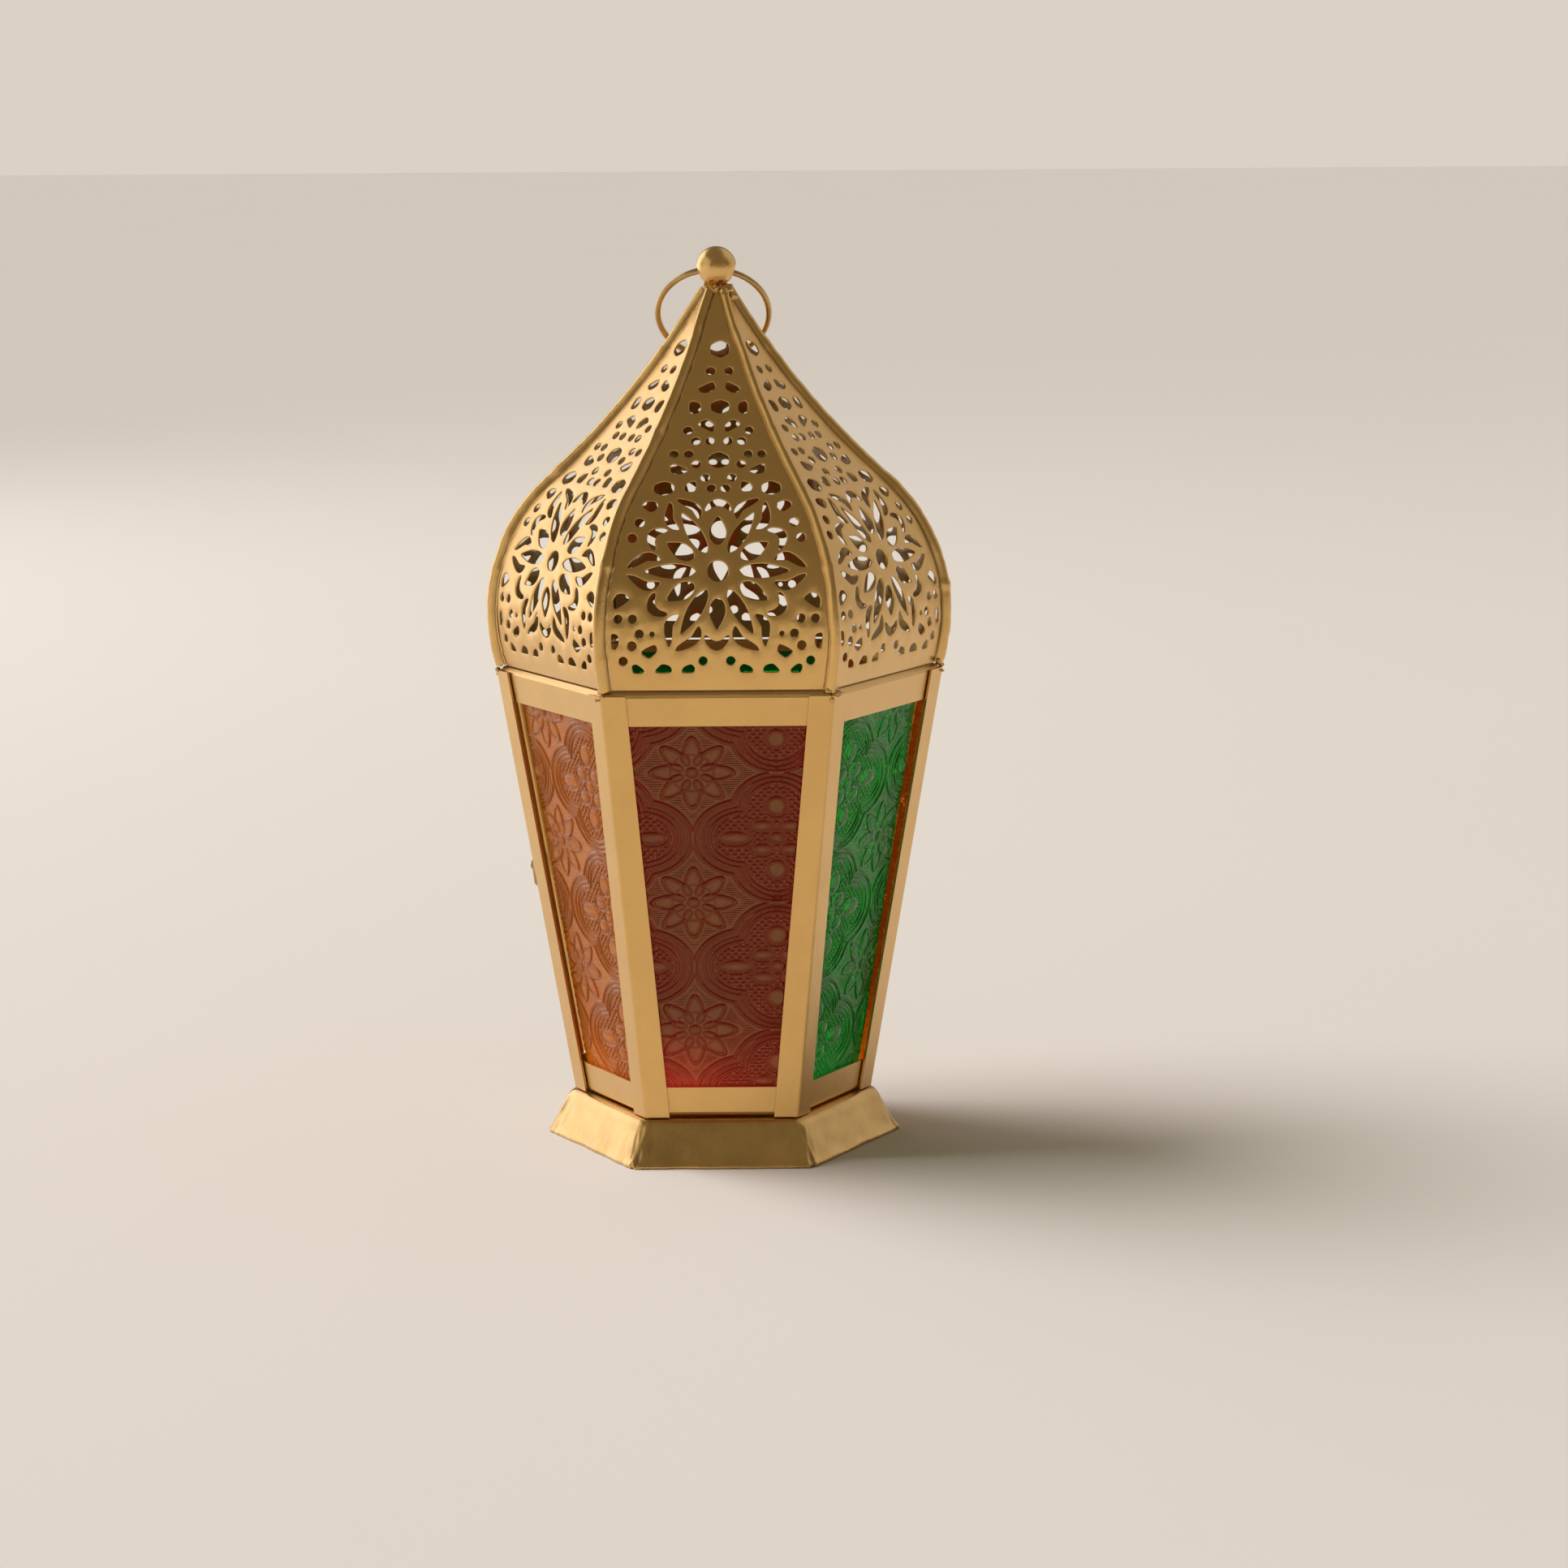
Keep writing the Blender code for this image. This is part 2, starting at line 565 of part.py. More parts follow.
# ---------------------------------------------------------------- finial and ring
def finial_ball(metal):
    """Ball with a bore from side to side, a little below its middle, for the ring."""
    profile = [(BALL_RADIUS * math.sin(math.pi * i / 16), -BALL_RADIUS * math.cos(math.pi * i / 16))
               for i in range(17)]
    profile[0], profile[-1] = (0, -BALL_RADIUS), (0, BALL_RADIUS)
    points, faces = turned(profile, 28)
    ball = add_piece("finial_ball", points + np.array([0, 0, BALL_Z]), faces, metal, sharp_angle=50)
    reach = 2 * BALL_RADIUS
    points, faces = turned([(0, -reach), (BALL_BORE, -reach), (BALL_BORE, reach), (0, reach)], 20)
    cutter = add_piece("ball_bore_cutter", stand_up(points, (0, 0, SWING_Z), (1, 0, 0)), faces, metal)
    cutter.hide_render = True
    cutter.display_type = "WIRE"
    bore = ball.modifiers.new("bore", "BOOLEAN")
    bore.operation = "DIFFERENCE"
    bore.solver = "EXACT"
    bore.object = cutter
    return ball


def finial_stem(metal):
    """Peg under the ball, down inside the roof's tip."""
    high = BALL_Z - BALL_RADIUS - GAP
    low = high - STEM_LENGTH
    profile = [(0, low), (STEM_RADIUS, low), (STEM_RADIUS, high), (0, high)]
    return add_piece("finial_stem", *turned(profile, 12), metal, sharp_angle=40)


def ring_points(tilt, segments):
    """Middle line of the ring hanging back at a tilt from straight down."""
    angles = 2 * math.pi * np.arange(segments) / segments
    drop = RING_RADIUS - RING_RISE
    x = RING_SIDE_SHIFT + RING_RADIUS * np.sin(angles)
    reach = drop - RING_RADIUS * np.cos(angles)
    return np.stack([x, reach * math.sin(tilt), SWING_Z - reach * math.cos(tilt)], axis=1)


def ring_tilt():
    """The smallest tilt, in quarter degrees, at which the ring is clear of the roof behind it.

    The roof's corner line is moved out, square to itself, by a rib's height, half the ring's wire and
    the clearance; every low point of the ring's middle line must lie outside that line."""
    line = roof_corner_line(200)
    slope = np.gradient(line, axis=0)
    slope /= np.linalg.norm(slope, axis=1)[:, None]
    reach = RIB_HEIGHT + GAP + (RING_WIRE / 2 + RING_CLEARANCE) / math.cos(HALF_TURN)
    line = line + reach * np.stack([slope[:, 1], -slope[:, 0]], axis=1)
    directions = 2 * HALF_TURN * np.arange(SIDES) - math.pi / 2
    normals = np.stack([np.cos(directions), np.sin(directions)])
    for quarter in range(4 * 90):
        tilt = math.radians(quarter / 4)
        ring = ring_points(tilt, 96)
        low = ring[ring[:, 2] < ROOF_TOP_Z - RING_WIRE]
        corner_radius = (low[:, :2] @ normals).max(axis=1) / math.cos(HALF_TURN)
        if np.all(corner_radius > np.interp(low[:, 2], line[:, 1], line[:, 0])):
            return tilt
    return math.pi / 2


def hanging_ring(metal, pivot, tilt):
    """Wire ring through the ball's bore."""
    middle = ring_points(tilt, 48)
    centre = middle.mean(axis=0)
    normal = np.array([0, math.cos(tilt), math.sin(tilt)])
    rings = []
    for point in middle:
        out = (point - centre) / np.linalg.norm(point - centre)
        rings.append([point + RING_WIRE / 2 * (out * math.cos(a) + normal * math.sin(a))
                      for a in 2 * math.pi * np.arange(8) / 8])
    return add_piece("hanging_ring", *loft(rings, closed=True), metal, pivot, sharp_angle=60)


# ---------------------------------------------------------------- door, hinges and latch
KNUCKLE_BORE = PIN_RADIUS + PIN_PLAY
KNUCKLE_RADIUS = KNUCKLE_BORE + KNUCKLE_SHEET
HINGE_STAND_OFF = KNUCKLE_RADIUS + GAP           # the hinge axis out from the side's plane


def hinge_line():
    """A point at the foot of the hinge axis, and the axis, door-ward and outward directions."""
    low = on_side(DOOR_SIDE, -opening_half_width(0) + DOOR_HINGE_PLAY / 2, 0, HINGE_STAND_OFF)
    high = on_side(DOOR_SIDE, -opening_half_width(SIDE_LENGTH) + DOOR_HINGE_PLAY / 2, SIDE_LENGTH,
                   HINGE_STAND_OFF)
    axis = (high - low) / np.linalg.norm(high - low)
    outward = side_directions(DOOR_SIDE)[2]
    doorward = np.cross(outward, axis)
    doorward *= math.copysign(1, doorward @ side_directions(DOOR_SIDE)[0])
    return low, axis, doorward, outward


def door_corners(inset):
    """The door's outline on its side, drawn in by an inset: four (across, up) points."""
    low = RAIL_HEIGHT + DOOR_END_PLAY + inset
    high = SIDE_LENGTH - RAIL_HEIGHT - DOOR_END_PLAY - inset
    edge = math.hypot(1, (edge_half_width(SIDE_LENGTH) - edge_half_width(0)) / SIDE_LENGTH)
    left = [-opening_half_width(up) + DOOR_HINGE_PLAY + inset * edge for up in (low, high)]
    right = [opening_half_width(up) - DOOR_FREE_PLAY - inset * edge for up in (low, high)]
    return [(left[0], low), (right[0], low), (right[1], high), (left[1], high)]


def door_frame(metal, pivot):
    """Channel bent round the pane and soldered at its four mitres: one closed ring."""
    depth = DOOR_SHEET * 2 + GAP * 2 + GLASS_THICKNESS
    section = [(0, 0), (DOOR_STRIP, 0), (DOOR_STRIP, DOOR_SHEET), (DOOR_SHEET, DOOR_SHEET),
               (DOOR_SHEET, depth - DOOR_SHEET), (DOOR_INNER_LEG, depth - DOOR_SHEET),
               (DOOR_INNER_LEG, depth), (0, depth)]
    corners = {inset: door_corners(inset) for inset, _ in section}
    rings = [[on_side(DOOR_SIDE, *corners[inset][k], -down) for inset, down in section] for k in range(4)]
    return add_piece("door_frame", *loft(rings, closed=True), metal, pivot)


def door_pane(glass, pivot):
    plate = plate_on_side(DOOR_SIDE, door_corners(DOOR_SHEET + GAP), DOOR_SHEET + GAP, GLASS_THICKNESS)
    return add_piece("door_glass", *plate, glass, pivot)


def knuckle(name, height, toward_door, metal, pivot=None):
    """Hinge leaf rolled round the pin, along the hinge line from a given height."""
    foot, axis, doorward, outward = hinge_line()
    middle = KNUCKLE_BORE + KNUCKLE_SHEET / 2
    path = [(LEAF_WIDTH, -middle)]
    for i in range(13):
        angle = -math.pi / 2 - math.radians(300) * i / 12
        path.append((middle * math.cos(angle), middle * math.sin(angle)))
    side = doorward if toward_door else -doorward
    section = strip(path, KNUCKLE_SHEET)
    rings = [[foot + axis * along + side * w + outward * n for w, n in section]
             for along in (height, height + KNUCKLE_LENGTH)]
    return add_piece(name, *loft(rings), metal, pivot, sharp_angle=40)


def hinge_pin(number, height, metal):
    """Pin through one pair of knuckles, with a small head at its top."""
    foot, axis, _, _ = hinge_line()
    length = 2 * KNUCKLE_LENGTH + GAP
    profile = [(0, -GAP), (PIN_RADIUS, -GAP), (PIN_RADIUS, length + GAP), (KNUCKLE_RADIUS, length + GAP),
               (KNUCKLE_RADIUS, length + 2 * GAP), (PIN_RADIUS, length + 3 * GAP), (0, length + 3 * GAP)]
    points, faces = turned(profile, 12)
    return add_piece(f"hinge_pin_{number}", stand_up(points, foot + axis * height, axis), faces, metal,
                     sharp_angle=40)


def latch_place():
    """Middle of the free post's flange at the latch's height."""
    return opening_half_width(LATCH_HEIGHT) + POST_FLANGE / 2, LATCH_HEIGHT


def latch_stud(metal):
    """Headed stud on the post that the latch turns on."""
    x, up = latch_place()
    low, high = 2 * GAP, 2 * GAP + LATCH_SHEET + 2 * GAP
    profile = [(0, GAP), (STUD_HEAD, GAP), (STUD_HEAD, low), (STUD_RADIUS, low), (STUD_RADIUS, high),
               (STUD_HEAD, high), (STUD_HEAD * 0.8, high + 0.5), (0, high + 0.6)]
    points, faces = turned(profile, 16)
    outward = side_directions(DOOR_SIDE)[2]
    return add_piece("latch_stud", stand_up(points, on_side(DOOR_SIDE, x, up, 0), outward), faces, metal,
                     sharp_angle=40)


def latch_button(metal, pivot):
    """Turn button hanging down along the post; turned sideways it holds the door's free edge."""
    x, up = latch_place()
    across, slope, outward, _ = side_directions(DOOR_SIDE)
    half = LATCH_WIDTH / 2
    outer, bore = [], []
    for i in range(16):
        angle = 2 * math.pi * (i + 0.5) / 16
        lower_end = math.sin(angle) < 0
        along = half * math.sin(angle) - (LATCH_LENGTH - LATCH_WIDTH) * lower_end
        outer.append((half * math.cos(angle), along))
        bore.append(((STUD_RADIUS + STUD_PLAY) * math.cos(angle), (STUD_RADIUS + STUD_PLAY) * math.sin(angle)))
    rings = []
    for outline, depth in ((outer, 3), (outer, 3 + LATCH_SHEET / GAP), (bore, 3 + LATCH_SHEET / GAP), (bore, 3)):
        rings.append([on_side(DOOR_SIDE, x + u, up + v, depth * GAP) for u, v in outline])
    return add_piece("latch_button", *loft(rings, closed=True), metal, pivot, sharp_angle=40)


def door_knob(metal, pivot):
    """Small knob on the door's free stile, below the latch."""
    up = LATCH_HEIGHT - KNOB_DROP
    x = opening_half_width(up) - DOOR_FREE_PLAY - DOOR_STRIP / 2
    neck = KNOB_RADIUS * 0.55
    profile = [(0, GAP), (KNOB_RADIUS * 0.8, GAP), (neck, GAP + 0.6), (neck, GAP + KNOB_LENGTH * 0.4),
               (KNOB_RADIUS, GAP + KNOB_LENGTH * 0.65), (KNOB_RADIUS * 0.75, GAP + KNOB_LENGTH * 0.92),
               (0, GAP + KNOB_LENGTH)]
    points, faces = turned(profile, 16)
    outward = side_directions(DOOR_SIDE)[2]
    return add_piece("door_knob", stand_up(points, on_side(DOOR_SIDE, x, up, 0), outward), faces, metal,
                     pivot, sharp_angle=40)


# ---------------------------------------------------------------- the whole lantern
def build():
    clear_scene()
    gold = finish("gold_metal", (0.70, 0.52, 0.28), 0.35, 1.0)
    dark_gold = finish("dark_gold_metal", (0.45, 0.32, 0.16), 0.4, 1.0)
    red = finish("red_glass", (0.35, 0.02, 0.02), 0.08, 0.0, 0.6)
    green = finish("green_glass", (0.05, 0.25, 0.04), 0.08, 0.0, 0.6)
    orange = finish("orange_glass", (0.85, 0.25, 0.02), 0.08, 0.0, 0.6)
    pane_colours = (red, green, orange, green, red, orange)

    base_pan(gold)
    candle_cup(gold)
    cup_rivet(gold)
    for number in range(1, SIDES + 1):
        corner_post(number, gold)
        top_rail(number, gold)
        bottom_rail(number, gold)
        roof_panel(number, gold)
        roof_rib(number, gold)
        if number - 1 != DOOR_SIDE:
            pane(number, pane_colours[number - 1])
    finial_ball(gold)
    finial_stem(gold)
    tilt = ring_tilt()
    swing = add_pivot("ring_swing_pivot", (RING_SIDE_SHIFT, 0, SWING_Z), (1, 0, 0))
    hanging_ring(dark_gold, swing, tilt)

    foot, axis, _, outward = hinge_line()
    door = add_pivot("door_hinge_pivot", foot, axis)
    door_frame(gold, door)
    door_pane(pane_colours[DOOR_SIDE], door)
    door_knob(gold, door)
    for number, height in enumerate(HINGE_HEIGHTS, start=1):
        knuckle(f"post_knuckle_{number}", height, False, gold)
        knuckle(f"door_knuckle_{number}", height + KNUCKLE_LENGTH + GAP, True, gold, door)
        hinge_pin(number, height, dark_gold)
    latch_stud(dark_gold)
    x, up = latch_place()
    turn = add_pivot("latch_turn_pivot", on_side(DOOR_SIDE, x, up, 3 * GAP), outward)
    latch_button(gold, turn)

    print("ring tilt, degrees:", round(math.degrees(tilt), 2), "swing axis height, mm:", round(SWING_Z, 3))
    print("door hinge foot, mm:", foot.round(4), "axis:", axis.round(6))
    print("latch pivot, mm:", on_side(DOOR_SIDE, x, up, 3 * GAP).round(4), "axis:", outward.round(6))


build()
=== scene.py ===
# %% [markdown]
# # A brass candle lantern with coloured glass
#
# The lantern is a six-sided body of bent brass strip on a pressed pan. Pressed-glass panes stand in
# channels, a pierced onion roof is soldered on top, and a wire ring hangs in the bore of a ball at the very
# tip. Every size below is in millimetres, as on a workshop drawing, and becomes metres only when a mesh is
# made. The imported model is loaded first. It is the frame that every piece here has to sit in.

# %% Load the frame
import math

import bpy
import numpy as np
from mathutils import Matrix, Vector
from mathutils.geometry import delaunay_2d_cdt


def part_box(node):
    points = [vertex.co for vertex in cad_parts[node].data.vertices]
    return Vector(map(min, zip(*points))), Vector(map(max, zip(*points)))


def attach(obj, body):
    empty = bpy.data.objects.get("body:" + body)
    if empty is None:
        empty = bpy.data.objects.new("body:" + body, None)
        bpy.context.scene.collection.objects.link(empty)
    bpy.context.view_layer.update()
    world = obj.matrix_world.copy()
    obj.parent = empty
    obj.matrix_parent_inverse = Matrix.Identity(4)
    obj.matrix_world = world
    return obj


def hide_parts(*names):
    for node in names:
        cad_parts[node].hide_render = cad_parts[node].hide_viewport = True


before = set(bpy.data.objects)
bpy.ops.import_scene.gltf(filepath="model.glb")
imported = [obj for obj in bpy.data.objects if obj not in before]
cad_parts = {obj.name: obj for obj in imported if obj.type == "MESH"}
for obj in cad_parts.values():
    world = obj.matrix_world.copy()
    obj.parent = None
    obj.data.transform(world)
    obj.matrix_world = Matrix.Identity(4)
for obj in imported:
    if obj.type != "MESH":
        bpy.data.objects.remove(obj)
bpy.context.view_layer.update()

MM = 0.001
HALF_TURN = math.pi / 6                    # half the angle that one side spans, seen from above
UP = np.array([0.0, 0.0, 1.0])

# %% [markdown]
# The driving sizes are the lantern's own: how wide the body is at foot and top, how thick the sheet is, how
# the roof swells and draws in. The frame was built from the same sizes, so the boxes of a few frame pieces
# are compared with them here, and a slip of a number shows at once.

# %% Driving sizes
GAP = 0.3
BODY_FOOT_RADIUS, BODY_TOP_RADIUS, BODY_HEIGHT = 40.5, 60.0, 115.1
BODY_FOOT_Z = 12.4
BODY_TOP_Z = BODY_FOOT_Z + BODY_HEIGHT
LEAN = math.atan((BODY_TOP_RADIUS - BODY_FOOT_RADIUS) / BODY_HEIGHT * math.cos(HALF_TURN))
ROOF_FOOT_Z, ROOF_TOP_Z = BODY_TOP_Z + 1.5, 228.5
ROOF_FOOT_RADIUS, ROOF_TOP_RADIUS = 58.2, 3.5
ROOF_SHEET = 0.5
PAN_LIP_RADIUS, PAN_HEIGHT, PAN_SHEET = 48.3, 12.1, 0.5
BALL_RADIUS, BALL_Z, BORE_RADIUS, BORE_Z = 5.3, 234.7, 2.1, 233.3
RING_RADIUS, RING_WIRE, RING_LEAN = 14.8, 1.64, 36.25

ball_low, ball_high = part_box("finial_ball")
print("ball centre off by, mm:", round(1000 * (ball_low[2] + ball_high[2]) / 2 - BALL_Z, 3))

# %% [markdown]
# ## Camera, floor and light
#
# The camera stands a little above the lantern and looks down by almost ten degrees through a long lens, so
# that the six-sided body hardly narrows with distance. Brass shows what it reflects more than any colour of
# its own, so the light matters as much as the metal: a big soft window behind on the left, a pale floor for
# the upright faces to mirror, and a dim room above and in front for the neck of the roof and the skirt of
# the pan. Two walls, one behind on the right and one in front on the left, are there for metal and glass
# only and don't light the floor. The daylight does the opposite: it falls on everything, and nothing
# mirrors it.

# %% Camera
CAMERA_PLACE = Vector((0.01433, -1.09973, 0.28336))
pitch, yaw, roll = math.radians(9.676), math.radians(0.143), math.radians(-0.354)
forward = Vector((math.sin(yaw) * math.cos(pitch), math.cos(yaw) * math.cos(pitch), -math.sin(pitch)))
unrolled = forward.cross(Vector((0, 0, 1))).normalized()
right = unrolled * math.cos(roll) + unrolled.cross(forward) * math.sin(roll)
upward = right.cross(forward)

lens = bpy.data.cameras.new("long_lens")
lens.sensor_width, lens.lens = 36.0, 94.93
camera = bpy.data.objects.new("camera", lens)
camera.matrix_world = Matrix((
    (right.x, upward.x, -forward.x, CAMERA_PLACE.x),
    (right.y, upward.y, -forward.y, CAMERA_PLACE.y),
    (right.z, upward.z, -forward.z, CAMERA_PLACE.z),
    (0, 0, 0, 1)))
bpy.context.collection.objects.link(camera)
bpy.context.scene.camera = camera
bpy.context.scene.view_settings.view_transform = "Standard"
print("camera to lantern, mm:", round(1000 * CAMERA_PLACE.length))

# %% [markdown]
# ## Shader arithmetic
#
# A finish is a small graph of nodes. To read it like a formula, a socket is wrapped in a class whose + - *
# add Math nodes, and every other node comes from one method that takes the node's type, its settings and
# its inputs. The settings are set first, because some of them change which inputs a node has.

# %% Sockets that can be added and multiplied
class Value:
    """A socket of a node tree. Arithmetic on it adds Math nodes to the tree."""

    def __init__(self, tree, socket):
        self.tree, self.socket = tree, socket

    def node(self, kind, settings=None, inputs=None, output=0):
        """Adds one node of a kind to this value's tree and gives back one of its outputs."""
        made = self.tree.nodes.new(kind)
        for setting, choice in (settings or {}).items():
            setattr(made, setting, choice)
        for place, given in (inputs or {}).items():
            if isinstance(given, Value):
                self.tree.links.new(given.socket, made.inputs[place])
            else:
                made.inputs[place].default_value = given
        return Value(self.tree, made.outputs[output])

    def maths(self, operation, first, second=0.0):
        """One Math node: operation is its name in capitals."""
        return self.node("ShaderNodeMath", {"operation": operation}, {0: first, 1: second})

    def __add__(self, other):
        return self.maths("ADD", self, other)

    def __sub__(self, other):
        return self.maths("SUBTRACT", self, other)

    def __rsub__(self, other):
        return self.maths("SUBTRACT", other, self)

    def __mul__(self, other):
        return self.maths("MULTIPLY", self, other)

    __radd__, __rmul__ = __add__, __mul__

    def between(self, low, high):
        """0 below low, 1 above high, and a smooth rise between."""
        return self.node("ShaderNodeMapRange", {"interpolation_type": "SMOOTHSTEP"},
                         {"Value": self, "From Min": low, "From Max": high})

    def tint(self, dark, light):
        """A colour that goes from dark, where this value is 0, to light, where it is 1."""
        return self.node("ShaderNodeMix", {"data_type": "RGBA"},
                         {0: self, 6: (*dark, 1.0) if isinstance(dark, tuple) else dark,
                          7: (*light, 1.0) if isinstance(light, tuple) else light}, output=2)

    def noise(self, scale, detail=3.0, roughness=0.5, distortion=0.0):
        """Cloudy pattern of this many lumps to the metre, read at this value as a place."""
        return self.node("ShaderNodeTexNoise", None,
                         {"Vector": self, "Scale": scale, "Detail": detail, "Roughness": roughness,
                          "Distortion": distortion})

    def stretched(self, x, y, z):
        """This place with each axis scaled, to draw a pattern out into streaks."""
        return self.node("ShaderNodeMapping", None, {"Vector": self, "Scale": (x, y, z)})

    def bump(self, height, distance, strength=1.0, over=None):
        """A normal bent by a height, in metres of relief, on top of another bump if there is one."""
        inputs = {"Strength": strength, "Distance": distance, "Height": height}
        if over:
            inputs["Normal"] = over
        return self.node("ShaderNodeBump", None, inputs)


def new_finish(name):
    """An empty material: gives back the material, its Principled shader and the object's own coordinates."""
    material = bpy.data.materials.new(name)
    material.use_nodes = True
    tree = material.node_tree
    shader = tree.nodes["Principled BSDF"]
    place = Value(tree, tree.nodes.new("ShaderNodeTexCoord").outputs["Object"])
    return material, shader, place


def plug(shader, **given):
    """Sets the shader's sockets by name, with spaces for underscores: values are linked, numbers are set."""
    for name, what in given.items():
        socket = shader.inputs[name.replace("_", " ")]
        if isinstance(what, Value):
            what.tree.links.new(what.socket, socket)
        elif isinstance(what, tuple) and len(what) == 3 and len(socket.default_value) == 4:
            socket.default_value = (*what, 1.0)
        else:
            socket.default_value = what


print("shader helpers are ready")

# %% [markdown]
# The floor is one plain pale sheet, a warm off-white with the faintest mottling. The room behind is the
# same tone where the camera looks straight at it, and dim where the metal mirrors it, which keeps the neck
# of the roof dark as it is in a room lit from one side.

# %% Floor and room
def level_sheet(name, half, height, material):
    """A level square of that half width, in metres."""
    mesh = bpy.data.meshes.new(name)
    mesh.from_pydata([(-half, -half, height), (half, -half, height), (half, half, height),
                      (-half, half, height)], [], [(0, 1, 2, 3)])
    mesh.materials.append(material)
    made = bpy.data.objects.new(name, mesh)
    bpy.context.collection.objects.link(made)
    return made


floor_paint, shader, place = new_finish("floor_paint")
mottling = place.noise(3.0, 4.0)
plug(shader, Base_Color=mottling.tint((0.79, 0.742, 0.70), (0.81, 0.762, 0.72)), Roughness=0.75,
     Specular_IOR_Level=0.2)
floor = level_sheet("floor", 12.0, 0.0, floor_paint)

world = bpy.data.worlds.new("room")
bpy.context.scene.world = world
world.use_nodes = True
room = world.node_tree
ROOM_SEEN = (0.708, 0.638, 0.558)
ROOM_MIRRORED = (0.20, 0.168, 0.115)
seen_directly = Value(room, room.nodes.new("ShaderNodeLightPath").outputs["Is Camera Ray"])
room_tone = seen_directly.tint(ROOM_MIRRORED, ROOM_SEEN)
room.links.new(room_tone.socket, room.nodes["Background"].inputs["Color"])


def soft_light(name, place, towards, size, watts, colour, lights_floor=True):
    """A square soft box: place and towards are points in metres, size is its side. One that doesn't light the
    floor is only there for metal and glass to show, as the walls of a room are."""
    lamp = bpy.data.lights.new(name, "AREA")
    lamp.shape, lamp.size, lamp.energy, lamp.color = "SQUARE", size, watts, colour
    box = bpy.data.objects.new(name, lamp)
    box.matrix_world = (Matrix.Translation(Vector(place))
                        @ (Vector(towards) - Vector(place)).to_track_quat("-Z", "Y").to_matrix().to_4x4())
    box.visible_camera = False
    box.visible_diffuse = lights_floor
    bpy.context.collection.objects.link(box)


def sky_light(name, place, strength, spread, colour):
    """A far light of even strength that nothing mirrors: place is where it comes from, spread its width in
    degrees."""
    lamp = bpy.data.lights.new(name, "SUN")
    lamp.energy, lamp.angle, lamp.color = strength, math.radians(spread), colour
    far = bpy.data.objects.new(name, lamp)
    far.matrix_world = (-Vector(place)).to_track_quat("-Z", "Y").to_matrix().to_4x4()
    far.visible_glossy = False
    bpy.context.collection.objects.link(far)


soft_light("window", (-1.35, 1.0, 0.72), (0, 0, 0.15), 1.7, 12.2, (1.0, 0.985, 0.965))
soft_light("right_wall", (1.45, 0.9, 1.2), (0, 0, 0.15), 2.4, 6.6, (1.0, 0.94, 0.84), lights_floor=False)
soft_light("left_wall", (-1.5, -0.75, 0.75), (0, 0, 0.15), 1.5, 3.4, (1.0, 0.96, 0.86), lights_floor=False)
sky_light("daylight", (-1.0, 0.22, 1.0), 2.92, 46.0, (1.0, 0.985, 0.965))

# %% [markdown]
# ## The finishes
#
# The body is thin brass sheet under a satin gold lacquer and a clear soft coat. Close to, such sheet is
# never one colour: the lacquer pools in faint clouds, rolling leaves the faintest streaks, handling leaves
# dull patches, and the surface has a fine orange peel. The pan is drawn deeper in the press, so its peel is
# coarser, the ball is smoother, the ring and the small fittings are rubbed darker, and the solder is duller
# and lumpier. A mesh can carry two attributes that darken the metal. One is painted shade in creases: along
# the edges of the ribs and in the hollows of the pan's pleats. The other, inside, darkens a sheet's inner
# face and, part way, the walls of its holes. One function makes all of these from a few numbers.

# %% Gold lacquer on brass
def gold_lacquer(name, bright, dull, roughness, peel, clouds=70.0, pitted=0.0):
    """Metal whose colour runs from dull to bright in clouds and streaks, with peel and pits in its relief."""
    material, shader, place = new_finish(name)
    cloud = place.noise(clouds, 4.0, 0.6)
    streak = place.stretched(1.0, 1.0, 0.12).noise(900.0, 2.0, 0.6)
    speck = place.noise(2600.0, 2.0, 0.7)
    smear = place.noise(28.0, 3.0, 0.55, 0.6)
    tone = (cloud * 0.65 + smear * 0.25 + streak * 0.1 + speck * 0.08).between(0.33, 0.72)
    worn = speck.between(0.66, 0.78) * 0.5 + cloud.between(0.62, 0.8) * 0.2
    crease_shade = place.node("ShaderNodeAttribute", {"attribute_name": "crease_shade"}, output="Fac")
    inner_face = place.node("ShaderNodeAttribute", {"attribute_name": "inside"}, output="Fac")
    colour = worn.tint(tone.tint(dull, bright), tuple(c * 0.72 for c in dull))
    # darker towards a sheet's inner face, and part way down the walls of its holes
    colour = inner_face.tint(colour, tuple(c * f for c, f in zip(dull, (0.62, 0.72, 0.9))))
    # painted shade: where a mesh marks a crease, the colour goes almost black
    colour = crease_shade.tint(colour, (0.10, 0.052, 0.016))
    rough = roughness + (smear - 0.5) * 0.16 + (streak - 0.5) * 0.1 + worn * 0.12 + crease_shade * 0.2
    wave = place.noise(55.0, 2.0, 0.5)
    hills = place.bump(wave, 0.00028)
    grain = place.bump(place.noise(peel, 2.0, 0.55), 0.00006, 1.0, hills)
    relief = place.bump(speck, 0.00002 + pitted, 0.6, grain)
    plug(shader, Base_Color=colour, Metallic=1.0, Roughness=rough, Normal=relief, Coat_Weight=1.0,
         Coat_Roughness=0.3)
    return material


